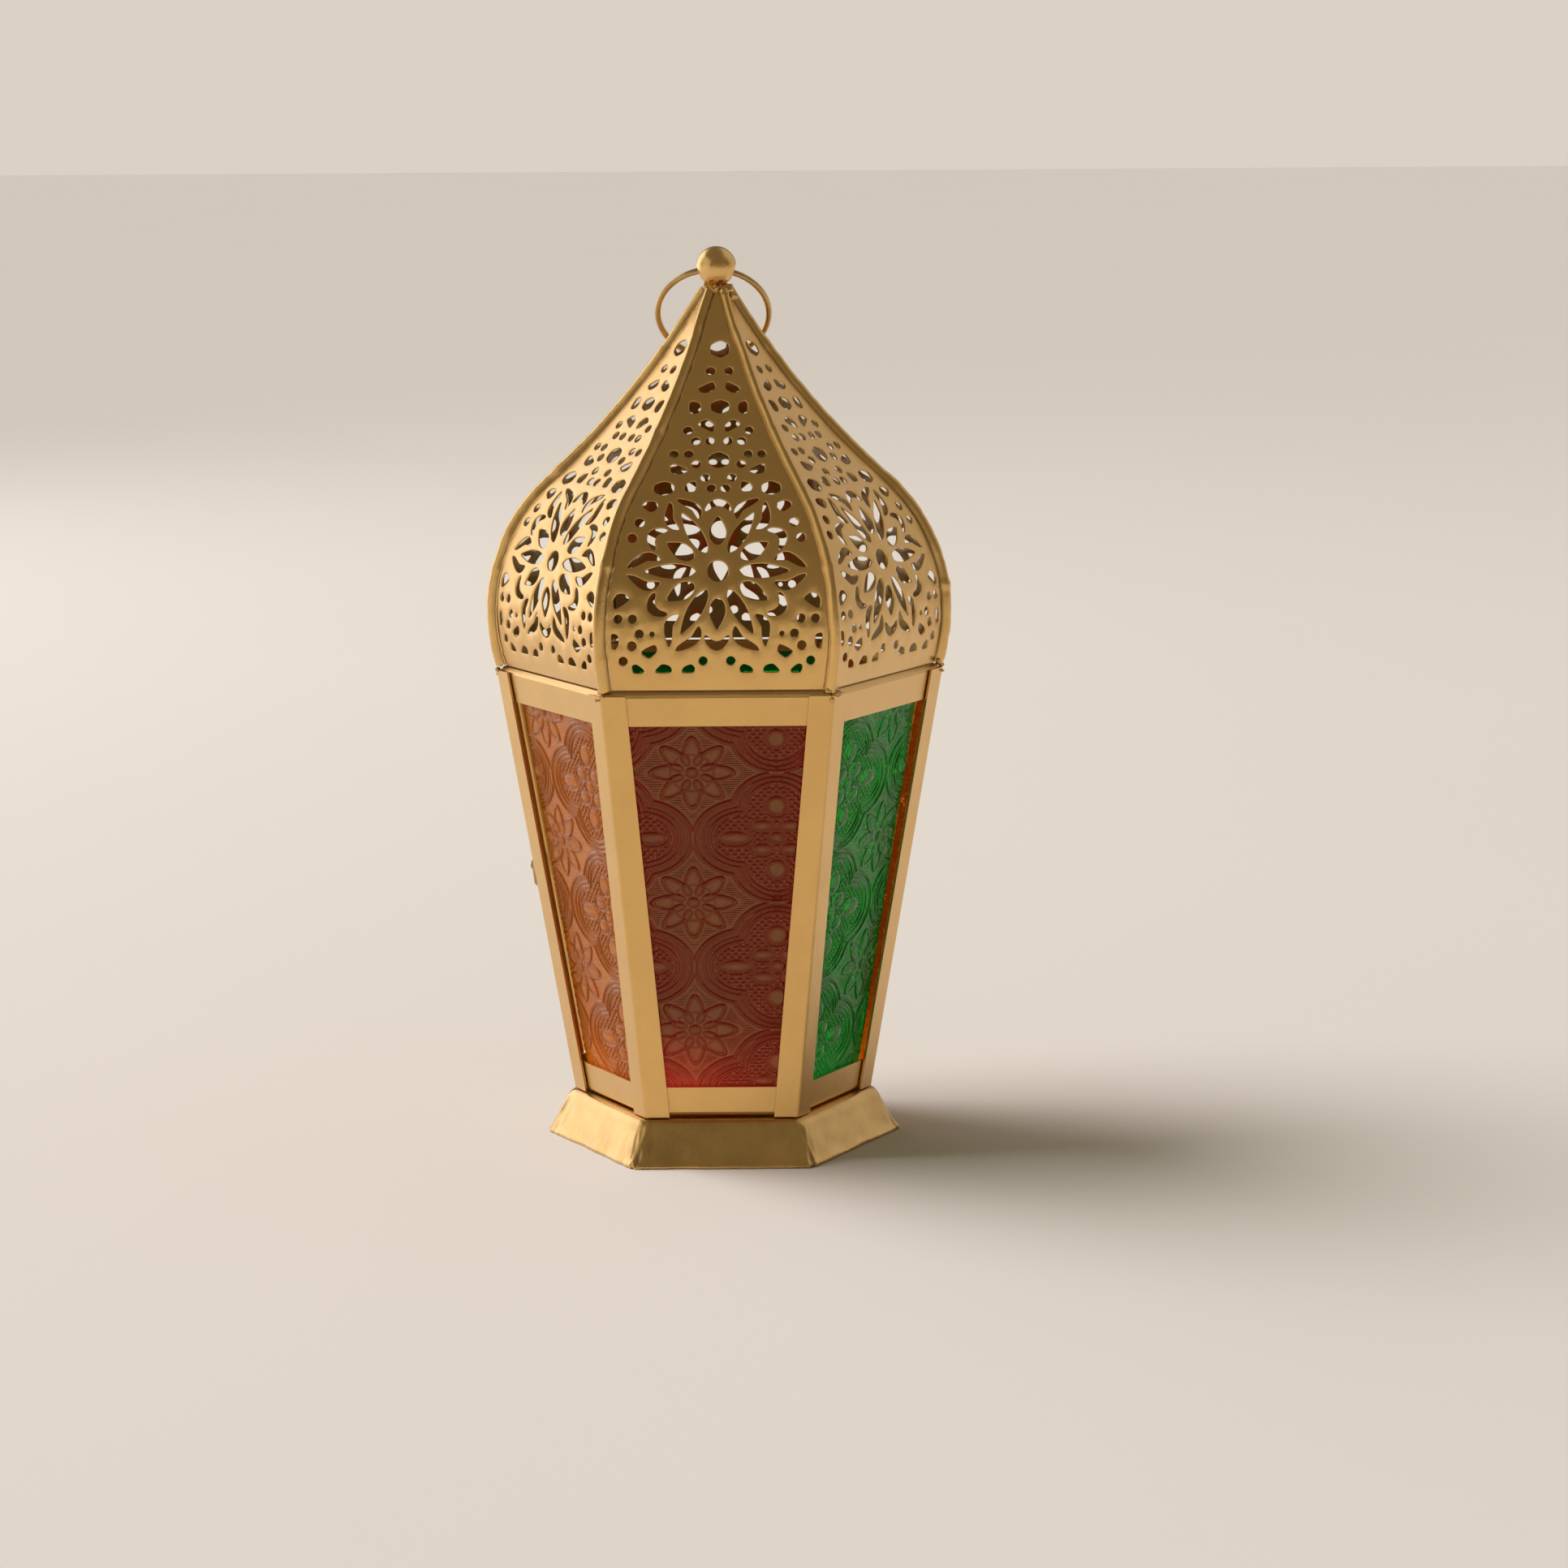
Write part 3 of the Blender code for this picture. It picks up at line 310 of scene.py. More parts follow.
sheet_gold = gold_lacquer("sheet_gold", (0.80, 0.49, 0.15), (0.735, 0.44, 0.125), 0.36, 700.0)
pan_gold = gold_lacquer("pan_gold", (0.81, 0.51, 0.17), (0.64, 0.385, 0.11), 0.29, 520.0, 130.0, 0.00005)
rib_gold = gold_lacquer("rib_gold", (0.81, 0.50, 0.155), (0.72, 0.43, 0.12), 0.31, 800.0, 120.0)
ball_gold = gold_lacquer("ball_gold", (0.82, 0.52, 0.18), (0.74, 0.45, 0.14), 0.30, 900.0, 150.0)
rubbed_gold = gold_lacquer("rubbed_gold", (0.60, 0.395, 0.145), (0.43, 0.275, 0.095), 0.30, 900.0, 150.0)
solder_gold = gold_lacquer("solder_gold", (0.74, 0.46, 0.15), (0.58, 0.345, 0.105), 0.38, 1100.0, 200.0,
                           0.00002)
# darker finish for the candle cup and stem: partly soot, partly painted shade inside the lantern
inner_gold = gold_lacquer("inner_gold", (0.62, 0.385, 0.13), (0.50, 0.30, 0.09), 0.42, 700.0)
print("gold finishes:", [m.name for m in bpy.data.materials if m.name.endswith("_gold")])

# %% [markdown]
# Pressed glass is coloured all through. Where the pattern is steep its colour is darker, a painted shade on
# the slopes of the relief. Its moulded face scatters the light a little, specks of grime roughen it, and fine
# hatching fills the ground between the flowers. The hatching is too fine for the mesh, so it is a bump: level
# lines read from an attribute that each pane carries, its own across and up in millimetres. On the level
# parts a thin lustrous skin is mixed over the glass. A weak emission is a painted glow that stands for the
# light
# that gathers inside the lantern: most in the foot of a pane, a little on the steep parts as a painted
# highlight, and a trace everywhere. Transmission and the index of refraction are the same all over, so they
# stay plain numbers.

# %% Coloured glass
def pressed_glass(name, deep, pale, haze, sheen, lustre, share, clear, glow=(0.0, 0.0, 0.0)):
    """Clear coloured glass with hatched ground. haze is how much its face scatters, sheen its shine's
    colour; lustre is the colour of the thin reflecting skin on its level parts, share how much of it there
    is, clear how much light goes straight through, and glow the colour of a painted emission that stands for
    the light that gathers inside."""
    material, shader, place = new_finish(name)
    sheet = place.node("ShaderNodeAttribute", {"attribute_name": "pane_place"}, output="Vector")
    ground = place.node("ShaderNodeAttribute", {"attribute_name": "hatched"}, output="Fac")
    level = place.node("ShaderNodeAttribute", {"attribute_name": "level"}, output="Fac")
    x_up = place.node("ShaderNodeSeparateXYZ", None, {0: sheet}, output=1)
    across = place.node("ShaderNodeSeparateXYZ", None, {0: sheet}, output=0)
    lines = place.maths("SINE", x_up * (2 * math.pi / 0.62)) * ground
    seed = place.noise(240.0, 3.0, 0.6)
    grime = place.noise(1500.0, 3.0, 0.7)
    streak = place.stretched(1.0, 1.0, 0.3).noise(90.0, 3.0, 0.5)
    colour = (seed * 0.5 + streak * 0.5).between(0.3, 0.7).tint(deep, pale)
    # painted shade: the steep parts of the pattern take a darker colour
    colour = level.tint(tuple(c * 0.4 for c in deep), colour)
    rough = haze + (grime - 0.5) * 0.03 + ground * 0.03
    hills = place.bump(place.noise(110.0, 2.0, 0.5), 0.00018)
    hatch = place.bump(lines, 0.00005, 1.0, hills)
    relief = place.bump(grime, 0.000008, 0.7, hatch)
    # painted glow: an emission, though the glass is no lamp, strongest in a pane's foot, with a painted
    # highlight on the steep parts
    foot = (1 - x_up.between(2.0, 30.0)) * (1 - (across * 0.6 + x_up * 0.4).between(-8.0, 14.0) * 0.8)
    lit = (foot * (0.3 + seed) + (1 - level) * 0.15 + 0.09).tint((0.0, 0.0, 0.0), glow)
    plug(shader, Base_Color=colour, Roughness=rough, Normal=relief, Transmission_Weight=clear, IOR=1.52,
         Specular_IOR_Level=0.36, Specular_Tint=sheen, Emission_Color=lit, Emission_Strength=1.0)
    skin_tone = grime.between(0.2, 0.9).tint(tuple(c * 0.8 for c in lustre), lustre)
    skin = place.node("ShaderNodeBsdfPrincipled", None, {"Metallic": 1.0, "Roughness": 0.24, "Normal": relief,
                                                         "Base Color": skin_tone}, output="BSDF")
    cover = level * (1 - ground * 0.25) * (0.75 + seed * 0.5) * share
    tree = material.node_tree
    both = cover.node("ShaderNodeMixShader", None, {0: cover, 1: Value(tree, shader.outputs[0]), 2: skin})
    tree.links.new(both.socket, tree.nodes["Material Output"].inputs["Surface"])
    return material


red_glass = pressed_glass("red_glass", (0.50, 0.003, 0.008), (0.80, 0.014, 0.014), 0.03, (1.0, 0.62, 0.30),
                          (0.84, 0.80, 0.34), 0.08, 1.0, (0.20, 0.012, 0.008))
green_glass = pressed_glass("green_glass", (0.003, 0.48, 0.02), (0.025, 0.86, 0.10), 0.01, (0.22, 1.0, 0.16),
                            (0.35, 0.95, 0.30), 0.012, 1.0, (0.002, 0.05, 0.008))
orange_glass = pressed_glass("orange_glass", (1.0, 0.27, 0.025), (1.0, 0.42, 0.07), 0.14, (1.0, 0.55, 0.25),
                             (0.95, 0.70, 0.28), 0.012, 0.72, (0.14, 0.035, 0.0))
print("glass finishes:", [m.name for m in bpy.data.materials if m.name.endswith("_glass")])

# %% [markdown]
# ## Making pieces
#
# A piece is worked out in numpy as arrays of points in millimetres, and becomes a mesh in one call. The
# call also says which body the piece moves with, which frame pieces it stands for and which material slot
# it takes.

# %% Helpers for meshes
def add_piece(name, points, faces, material, body, stands_for=(), sharp=40, layers=None):
    """One mesh object at the origin, from points in millimetres and lists of corner numbers."""
    mesh = bpy.data.meshes.new(name)
    mesh.from_pydata((np.asarray(points, float) * MM).tolist(), [], [list(map(int, f)) for f in faces])
    for layer, values in (layers or {}).items():
        kind = "FLOAT_VECTOR" if np.ndim(values) == 2 else "FLOAT"
        attribute = mesh.attributes.new(layer, kind, "POINT")
        attribute.data.foreach_set("vector" if kind == "FLOAT_VECTOR" else "value",
                                   np.asarray(values, float).ravel())
    mesh.materials.append(material)
    mesh.shade_smooth()
    if sharp:
        mesh.set_sharp_from_angle(angle=math.radians(sharp))
    piece = bpy.data.objects.new(name, mesh)
    bpy.context.collection.objects.link(piece)
    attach(piece, body)
    if stands_for:
        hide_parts(*stands_for)
    return piece


def grid_faces(rows, columns, round_rows=False, round_columns=False):
    """Four corner numbers for each cell of a grid of points stored row by row."""
    r = np.arange(rows if round_rows else rows - 1)[:, None]
    c = np.arange(columns if round_columns else columns - 1)[None, :]
    r2, c2 = (r + 1) % rows, (c + 1) % columns
    cells = np.stack([r * columns + c, r * columns + c2, r2 * columns + c2, r2 * columns + c], axis=-1)
    return cells.reshape(-1, 4).tolist()


def ripple(seed, *places, waves=7, longest=40.0, shortest=9.0):
    """Gentle unevenness between about -1 and 1: a sum of sine waves in random directions and lengths."""
    dice = np.random.default_rng(seed)
    total = 0.0
    for _ in range(waves):
        direction = dice.normal(size=len(places))
        direction *= 2 * math.pi / dice.uniform(shortest, longest) / np.linalg.norm(direction)
        phase = dice.uniform(0, 2 * math.pi)
        total = total + np.sin(sum(k * p for k, p in zip(direction, places)) + phase)
    return total / math.sqrt(waves)


def side_directions(side):
    """A side's directions across, up its slope and outwards, and the middle of its foot. 0 is the front."""
    angle = 2 * HALF_TURN * side - math.pi / 2
    out = np.array([math.cos(angle), math.sin(angle), 0])
    across = np.array([-math.sin(angle), math.cos(angle), 0])
    foot = out * BODY_FOOT_RADIUS * math.cos(HALF_TURN) + UP * BODY_FOOT_Z
    slope = out * math.sin(LEAN) + UP * math.cos(LEAN)
    return across, slope, out * math.cos(LEAN) - UP * math.sin(LEAN), foot


def on_side(side, x, up, out):
    """Points on a side: x across, up its slope, out from its plane; three arrays of one shape."""
    across, slope, normal, foot = side_directions(side)
    x, up, out = np.broadcast_arrays(x, up, out)
    return foot + across * x[..., None] + slope * up[..., None] + normal * out[..., None]


print("sides lean out by, degrees:", round(math.degrees(LEAN), 2))

# %% [markdown]
# ## The roof's profile
#
# Seen from the side, each corner of the roof follows two arcs: a belly that swells out and turns inwards,
# and a hollow neck that draws in to the tip, tangent to the belly where they meet. On an arc the slope
# changes evenly with length, and the chord from its start points half-way between the two slopes, which
# gives every point directly.

# %% Roof profile
BELLY_RADIUS, BELLY_RISE, TURN_ANGLE = 47.0, 14.3, 48.0


def arc_from(start, slope, end_slope, length, share):
    """Points at shares of an arc: chord = length x share x sinc(swing / 2), heading = the mean slope."""
    swing = (end_slope - slope) * share
    chord = length * share * np.sinc(swing / 2 / math.pi)
    heading = slope + swing / 2
    return start[0] - chord * np.sin(heading), start[1] + chord * np.cos(heading)


def roof_corner_line(count):
    """Corner radius and height at evenly spaced places up the roof: the belly arc, then the neck arc."""
    foot_slope, turn_slope = -math.asin(BELLY_RISE / BELLY_RADIUS), math.radians(TURN_ANGLE)
    foot = (ROOF_FOOT_RADIUS, ROOF_FOOT_Z)
    belly = BELLY_RADIUS * (turn_slope - foot_slope)
    turn = arc_from(foot, foot_slope, turn_slope, belly, 1.0)
    reach = (turn[0] - ROOF_TOP_RADIUS, ROOF_TOP_Z - turn[1])
    top_slope = 2 * math.atan2(*reach) - turn_slope
    neck = math.hypot(*reach) / np.sinc((turn_slope - top_slope) / 2 / math.pi)
    place = np.linspace(0, belly + neck, count)
    low = arc_from(foot, foot_slope, turn_slope, belly, np.minimum(place / belly, 1))
    high = arc_from(turn, turn_slope, top_slope, neck, np.maximum(place - belly, 0) / neck)
    on_belly = place <= belly
    return np.stack([np.where(on_belly, a, b) for a, b in zip(low, high)], axis=1)


PROFILE = roof_corner_line(600)
PROFILE_APOTHEM = PROFILE[:, 0] * math.cos(HALF_TURN)
PROFILE_UP = np.concatenate([[0], np.cumsum(np.hypot(np.diff(PROFILE_APOTHEM), np.diff(PROFILE[:, 1])))])
PROFILE_SLOPE = np.arctan2(-np.gradient(PROFILE_APOTHEM), np.gradient(PROFILE[:, 1]))
print("a roof sheet's length laid flat, mm:", round(PROFILE_UP[-1], 2))


def sheet_half_width(up):
    """Half the width of a roof sheet laid flat, at a height up the sheet."""
    return np.interp(up, PROFILE_UP, PROFILE[:, 0]) * math.sin(HALF_TURN) - GAP / 2 / math.cos(HALF_TURN)


def bend_sheet(side, x, up, depth):
    """Bends flat places back onto the roof: x across, up the sheet, depth inwards from its outer face."""
    across, _, _, _ = side_directions(side)
    out = np.array([across[1], -across[0], 0])
    slope = np.interp(up, PROFILE_UP, PROFILE_SLOPE)
    apothem = np.interp(up, PROFILE_UP, PROFILE_APOTHEM)
    tuck = 1 - depth * np.cos(slope) / np.maximum(apothem, 1.0)
    return (out * (apothem - depth * np.cos(slope))[:, None] + across * (x * tuck)[:, None]
            + UP * (np.interp(up, PROFILE_UP, PROFILE[:, 1]) - depth * np.sin(slope))[:, None])


# %% [markdown]
# ## The pierced pattern
#
# Each sheet was cut with small punches while it was flat: a rosette of petals, crescents and flames low
# down, then a column of hexagons, dots and lozenges up the neck. A hole is an outline on the flat sheet.
# The rosette repeats by turning, everything else by mirroring left to right. Outlines are drawn with a few
# corners and then softened by cutting each corner off twice, as a worn punch does.

# %% Punched outlines
ROSETTE_UP = 31.1


def softened(outline, times=2):
    """Corner cutting: every edge keeps only two points, a cut away from its ends; the first cut is small."""
    for cut in (0.17, 0.25)[:times]:
        following = np.roll(outline, -1, axis=0)
        outline = np.stack([outline * (1 - cut) + following * cut, outline * cut + following * (1 - cut)],
                           axis=1).reshape(-1, 2)
    return outline


def dot(x, up, radius, corners=12):
    """A round hole."""
    angle = 2 * math.pi * np.arange(corners) / corners
    return np.stack([x + radius * np.cos(angle), up + radius * np.sin(angle)], axis=1)


def hexagon(x, up, width, height):
    """A hexagon standing on a point."""
    w, h = width / 2, height / 2
    corners = np.array([(0, h), (-w, h * 0.5), (-w, -h * 0.5), (0, -h), (w, -h * 0.5), (w, h * 0.5)])
    return softened(corners) + (x, up)


def leaf(spine):
    """An outline symmetric about its own axis, from (along, half width) pairs with a point at each end."""
    spine = np.array(spine, float)
    there = spine[spine[:, 1] > 0] * (1, -1)
    return np.vstack([spine[::-1], there])


def turned(outline, angle):
    """An outline drawn along the rosette's ray, turned to an angle in degrees and set on the rosette."""
    c, s = math.cos(math.radians(angle)), math.sin(math.radians(angle))
    return outline @ np.array([[c, s], [-s, c]]) + (0, ROSETTE_UP)


def mirrored(outline):
    """An outline and its mirror image on the other side of the sheet."""
    return [outline, outline * (-1, 1)]


LONG_PETAL = [(5.5, 0), (7, 1.15), (9.2, 1.65), (11.5, 1.8), (14, 1.5), (16.5, 0.8), (18.7, 0)]
SHORT_PETAL = [(7.0, 0), (7.5, 0.95), (8.7, 1.8), (10.4, 2.1), (12, 1.7), (13.6, 0.9), (15.1, 0)]
CRESCENT = np.array([(16.6, 3.15), (17.4, 3.2), (18.5, 2.7), (19.8, 1.6), (20.4, 0), (19.8, -1.6),
                     (18.5, -2.7), (17.4, -3.2), (16.6, -3.15), (16.9, -2.4), (17.8, -1.5), (18.3, 0),
                     (17.8, 1.5), (16.9, 2.4)])
FLAME = np.array([(14.6, 2.9), (15.5, 4.15), (17, 4.9), (18.6, 4.8), (20.2, 3.9), (21.8, 2.5), (23.0, 1.0),
                  (21.9, 1.0), (20.4, 1.6), (19, 2.35), (17.9, 2.9), (16.3, 2.85)])


def rosette():
    """The round hole, two rings of petals, the crescents and the paired flames."""
    holes = [dot(0, ROSETTE_UP, 2.65, 22)]
    for k in range(6):
        holes.append(turned(softened(leaf(LONG_PETAL)), 60 * k))
        holes.append(turned(softened(leaf(SHORT_PETAL)), 60 * k + 30))
        holes.append(turned(softened(CRESCENT), 60 * k + 30))
        holes.append(turned(softened(FLAME), 60 * k))
        holes.append(turned(softened(FLAME * (1, -1)), 60 * k))
    return holes


CHIPS = [
    [(-5.6, 86.1), (-1.8, 88.2), (-1.3, 86.0), (-3.3, 84.8), (-4.7, 84.9)],
    [(-7.6, 81.4), (-6.9, 82.2), (-5.2, 81.6), (-4.9, 79.4), (-6.1, 78.4), (-7.5, 78.6)],
    [(-5.8, 75.1), (-4.0, 76.4), (-3.0, 76.3), (-1.5, 75.0), (-1.6, 72.9), (-2.4, 73.0)],
    [(-12.3, 62.3), (-11.3, 62.7), (-7.6, 60.7), (-10.0, 59.4), (-12.1, 60.0)],
    [(-8.8, 55.3), (-8.1, 56.5), (-6.2, 57.2), (-5.8, 56.0), (-6.2, 53.8), (-8.4, 54.0)],
    [(-19.3, 49.2), (-18.7, 50.5), (-17.0, 50.8), (-15.6, 50.2), (-15.3, 48.9), (-16.3, 47.7), (-17.4, 47.6)],
    [(-26.5, 23.8), (-25.4, 25.2), (-23.8, 25.3), (-22.1, 23.8), (-25.7, 21.5), (-26.4, 21.8)],
    [(-27.1, 15.1), (-25.4, 14.7), (-25.3, 12.3), (-26.0, 11.2), (-26.9, 11.4)],
    [(-19.8, 10.3), (-15.9, 12.3), (-15.4, 10.5), (-17.5, 8.6)],
    [(-21.9, 6.6), (-20.8, 7.0), (-19.0, 5.5), (-19.1, 4.8), (-21.6, 4.8)],
    [(-16.3, 4.9), (-14.2, 7.1), (-12.1, 6.5), (-11.6, 4.9)],
    [(-9.1, 4.9), (-8.5, 6.2), (-6.7, 7.0), (-5.8, 6.2), (-5.9, 4.9)],
]
DOTS = [
    (2.4, 91.3, 1.1), (8.0, 73.2, 1.1), (2.4, 69.9, 1.1), (6.05, 69.9, 1.1), (7.8, 65.8, 1.1),
    (11.45, 65.8, 1.1), (5.9, 62.6, 1.15), (3.47, 58.3, 1.15), (1.8, 54.9, 1.15), (19.85, 44.3, 1.2),
    (21.7, 40.0, 1.15), (25.3, 18.85, 1.05), (21.6, 18.85, 1.05), (19.9, 15.0, 1.05), (16.65, 14.95, 0.55),
    (21.8, 11.9, 1.1), (24.1, 7.93, 1.05), (3.55, 7.93, 1.05),
]
HEXAGONS = [(0, 97.8, 4.8, 5.1), (0, 80.5, 4.7, 4.3), (0, 63.9, 5.3, 5.2)]
HEXAGON_PAIRS = [(13.9, 54.9, 4.9, 4.6)]

piercings = rosette()
for chip in CHIPS:
    piercings += mirrored(softened(np.array(chip)))
for x, up, radius in DOTS:
    piercings += mirrored(dot(x, up, radius))
piercings += [hexagon(*place) for place in HEXAGONS]
for place in HEXAGON_PAIRS:
    piercings += mirrored(hexagon(*place))
print("holes in one roof sheet:", len(piercings))

# %% [markdown]
# To turn outlines into a sheet with holes, the flat sheet is filled with a triangle mesh that follows every
# outline. That is a job for constrained Delaunay triangulation, which a grid can't do. The mesh is filled
# up to a line just outside each hole, once for the outer face and once, in reverse, for the inner. Between
# them, narrow bands of quads round each hole's lip over and carry it through the sheet, so that each hole
# has the soft bright edge that lacquered, punched sheet has. Only then is everything bent onto the roof's
# profile.

# %% Fill the flat sheet
LIP = 0.24                                 # how far the rounding of a hole's edge reaches
WEAR = 0.09                                # how far each hole's edge lies outside its outline


def anticlockwise(outline):
    """The same outline, always in the turning direction with its inside on the left."""
    x, y = outline.T
    area = np.sum(x * np.roll(y, -1) - np.roll(x, -1) * y)
    return outline if area > 0 else outline[::-1]


def grown(outline, distance):
    """Each corner moves outwards along the mean of its two edges' normals."""
    along = np.roll(outline, -1, axis=0) - outline
    normal = np.stack([along[:, 1], -along[:, 0]], axis=1)
    normal /= np.linalg.norm(normal, axis=1)[:, None]
    mean = normal + np.roll(normal, 1, axis=0)
    mean /= np.linalg.norm(mean, axis=1)[:, None]
    return outline + mean * distance / np.clip(np.sum(mean * normal, axis=1), 0.6, 1)[:, None]


def inside(points, outline):
    """Which points lie inside a closed outline: a ray to the right crosses its edges an odd number of
    times."""
    x, y = points[:, :1], points[:, 1:]
    (x1, y1), (x2, y2) = outline.T, np.roll(outline, -1, axis=0).T
    with np.errstate(divide="ignore", invalid="ignore"):
        crosses = ((y1 > y) != (y2 > y)) & (x < (x2 - x1) * (y - y1) / (y2 - y1) + x1)
    return crosses.sum(axis=1) % 2 == 1


SHEET_ROWS = 58
rows_up = np.linspace(0, PROFILE_UP[-1], SHEET_ROWS)
rim_half = sheet_half_width(rows_up)
foot_x = np.linspace(-rim_half[0], rim_half[0], 30)[1:-1]
sheet_outline = np.vstack([
    np.stack([foot_x, np.zeros_like(foot_x)], axis=1),
    np.stack([rim_half, rows_up], axis=1), np.stack([-rim_half, rows_up], axis=1)[::-1]])
holes = [grown(anticlockwise(hole), WEAR) for hole in piercings]
lips = [grown(hole, LIP) for hole in holes]

grid_x, grid_up = np.meshgrid(np.arange(-30, 30.1, 2.1), np.arange(2, PROFILE_UP[-1] - 1, 2.0))
grid_x = grid_x + 1.05 * (np.arange(len(grid_x)) % 2)[:, None]
fillers = np.stack([grid_x.ravel(), grid_up.ravel()], axis=1)
fillers = fillers[np.abs(fillers[:, 0]) < sheet_half_width(fillers[:, 1]) - 1.0]
edge_points = np.vstack(lips)
near = np.array([np.min(np.hypot(*(edge_points - point).T)) < 0.9 for point in fillers])
for lip in lips:
    near |= inside(fillers, lip)
fillers = fillers[~near]

corners, edges, starts = [sheet_outline], [], []
count = len(sheet_outline)
edges += [(i, (i + 1) % count) for i in range(count)]
for lip in lips:
    starts.append(count)
    corners.append(lip)
    edges += [(count + i, count + (i + 1) % len(lip)) for i in range(len(lip))]
    count += len(lip)
corners = np.vstack([*corners, fillers])
filled, _, triangles, *_ = delaunay_2d_cdt([Vector(c) for c in corners], edges, [], 0, 1e-6)
flat_places = np.array([tuple(v) for v in filled])
print("points given and kept:", len(corners), len(flat_places))
triangles = np.array([t for t in triangles])
middles = flat_places[triangles].mean(axis=1)
kept = inside(middles, sheet_outline)
for lip in lips:
    box_low, box_high = lip.min(axis=0), lip.max(axis=0)
    close = np.flatnonzero(np.all((middles > box_low) & (middles < box_high), axis=1))
    kept[close[inside(middles[close], lip)]] = False
triangles = triangles[kept]
print("triangles in one face of a sheet:", len(triangles))

# %% Bands round each hole
BANDS = ((LIP, 0.0), (0.12, 0.045), (0.02, 0.16), (0.0, 0.36))      # (outside the hole's edge, depth)


def sheet_layers():
    """Flat places, depths and faces of a sheet: both its sides, its outer edge and the bands of each hole."""
    size = len(flat_places)
    places = [flat_places, flat_places]
    depths = [np.zeros(size), np.full(size, ROOF_SHEET)]
    faces = triangles.tolist() + (triangles[:, ::-1] + size).tolist()
    border = len(sheet_outline)
    faces += [(j, i, i + size, j + size) for i, j in ((i, (i + 1) % border) for i in range(border))]
    total = 2 * size
    for start, hole in zip(starts, holes):
        n = len(hole)
        i = np.arange(n)
        rings = [start + i]
        for outside, depth in BANDS[1:]:
            places.append(grown(hole, outside) if outside else hole)
            depths.append(np.full(n, depth))
            rings.append(total + i)
            total += n
        rings.append(start + i + size)
        for upper, lower in zip(rings, rings[1:]):
            faces += np.stack([upper, np.roll(upper, -1), np.roll(lower, -1), lower], axis=1).tolist()
    return np.vstack(places), np.concatenate(depths), faces


layer_places, layer_depths, layer_faces = sheet_layers()
print("faces in one pierced sheet:", len(layer_faces))


def pierced_sheet(number):
    """One roof sheet: the pattern wanders sideways a little, the sheet is gently dented, then it is bent."""
    x, up = layer_places.T
    half = np.maximum(sheet_half_width(up), 0.5)
    free = np.clip(1 - (x / half) ** 2, 0, 1)
    drift = (1.15 if number == 1 else 0.9 * math.sin(2.3 * number)) * (up / 100) ** 1.2
    wander = 0.12 * ripple(40 + number, x, up, longest=30, shortest=12)
    dents = 0.04 * ripple(60 + number, x, up, longest=70, shortest=28) * free
    points = bend_sheet(number - 1, x + (drift + wander) * free, up, layer_depths + dents)
    return add_piece(f"pierced_roof_sheet_{number}", points, layer_faces, sheet_gold, "lantern",
                     [f"roof_panel_{number}"], sharp=50, layers={"inside": layer_depths / ROOF_SHEET})


for number in range(1, 7):
    pierced_sheet(number)
print("roof sheets done")

# %% [markdown]
# ## Ribs over the seams
#
# A half-round bead of brass is soldered over every seam of the roof. It is a section carried up the corner
# line: a rounded crown, and on one side a thin ragged strip of solder that crept out from under it. The
# bead's width and height wobble, and here and there it has a lump where it was tacked.

# %% Roof ribs
RIB_HALF, RIB_CROWN = (1.62, 1.25), (1.75, 1.2)                     # each at the roof's foot and at its top


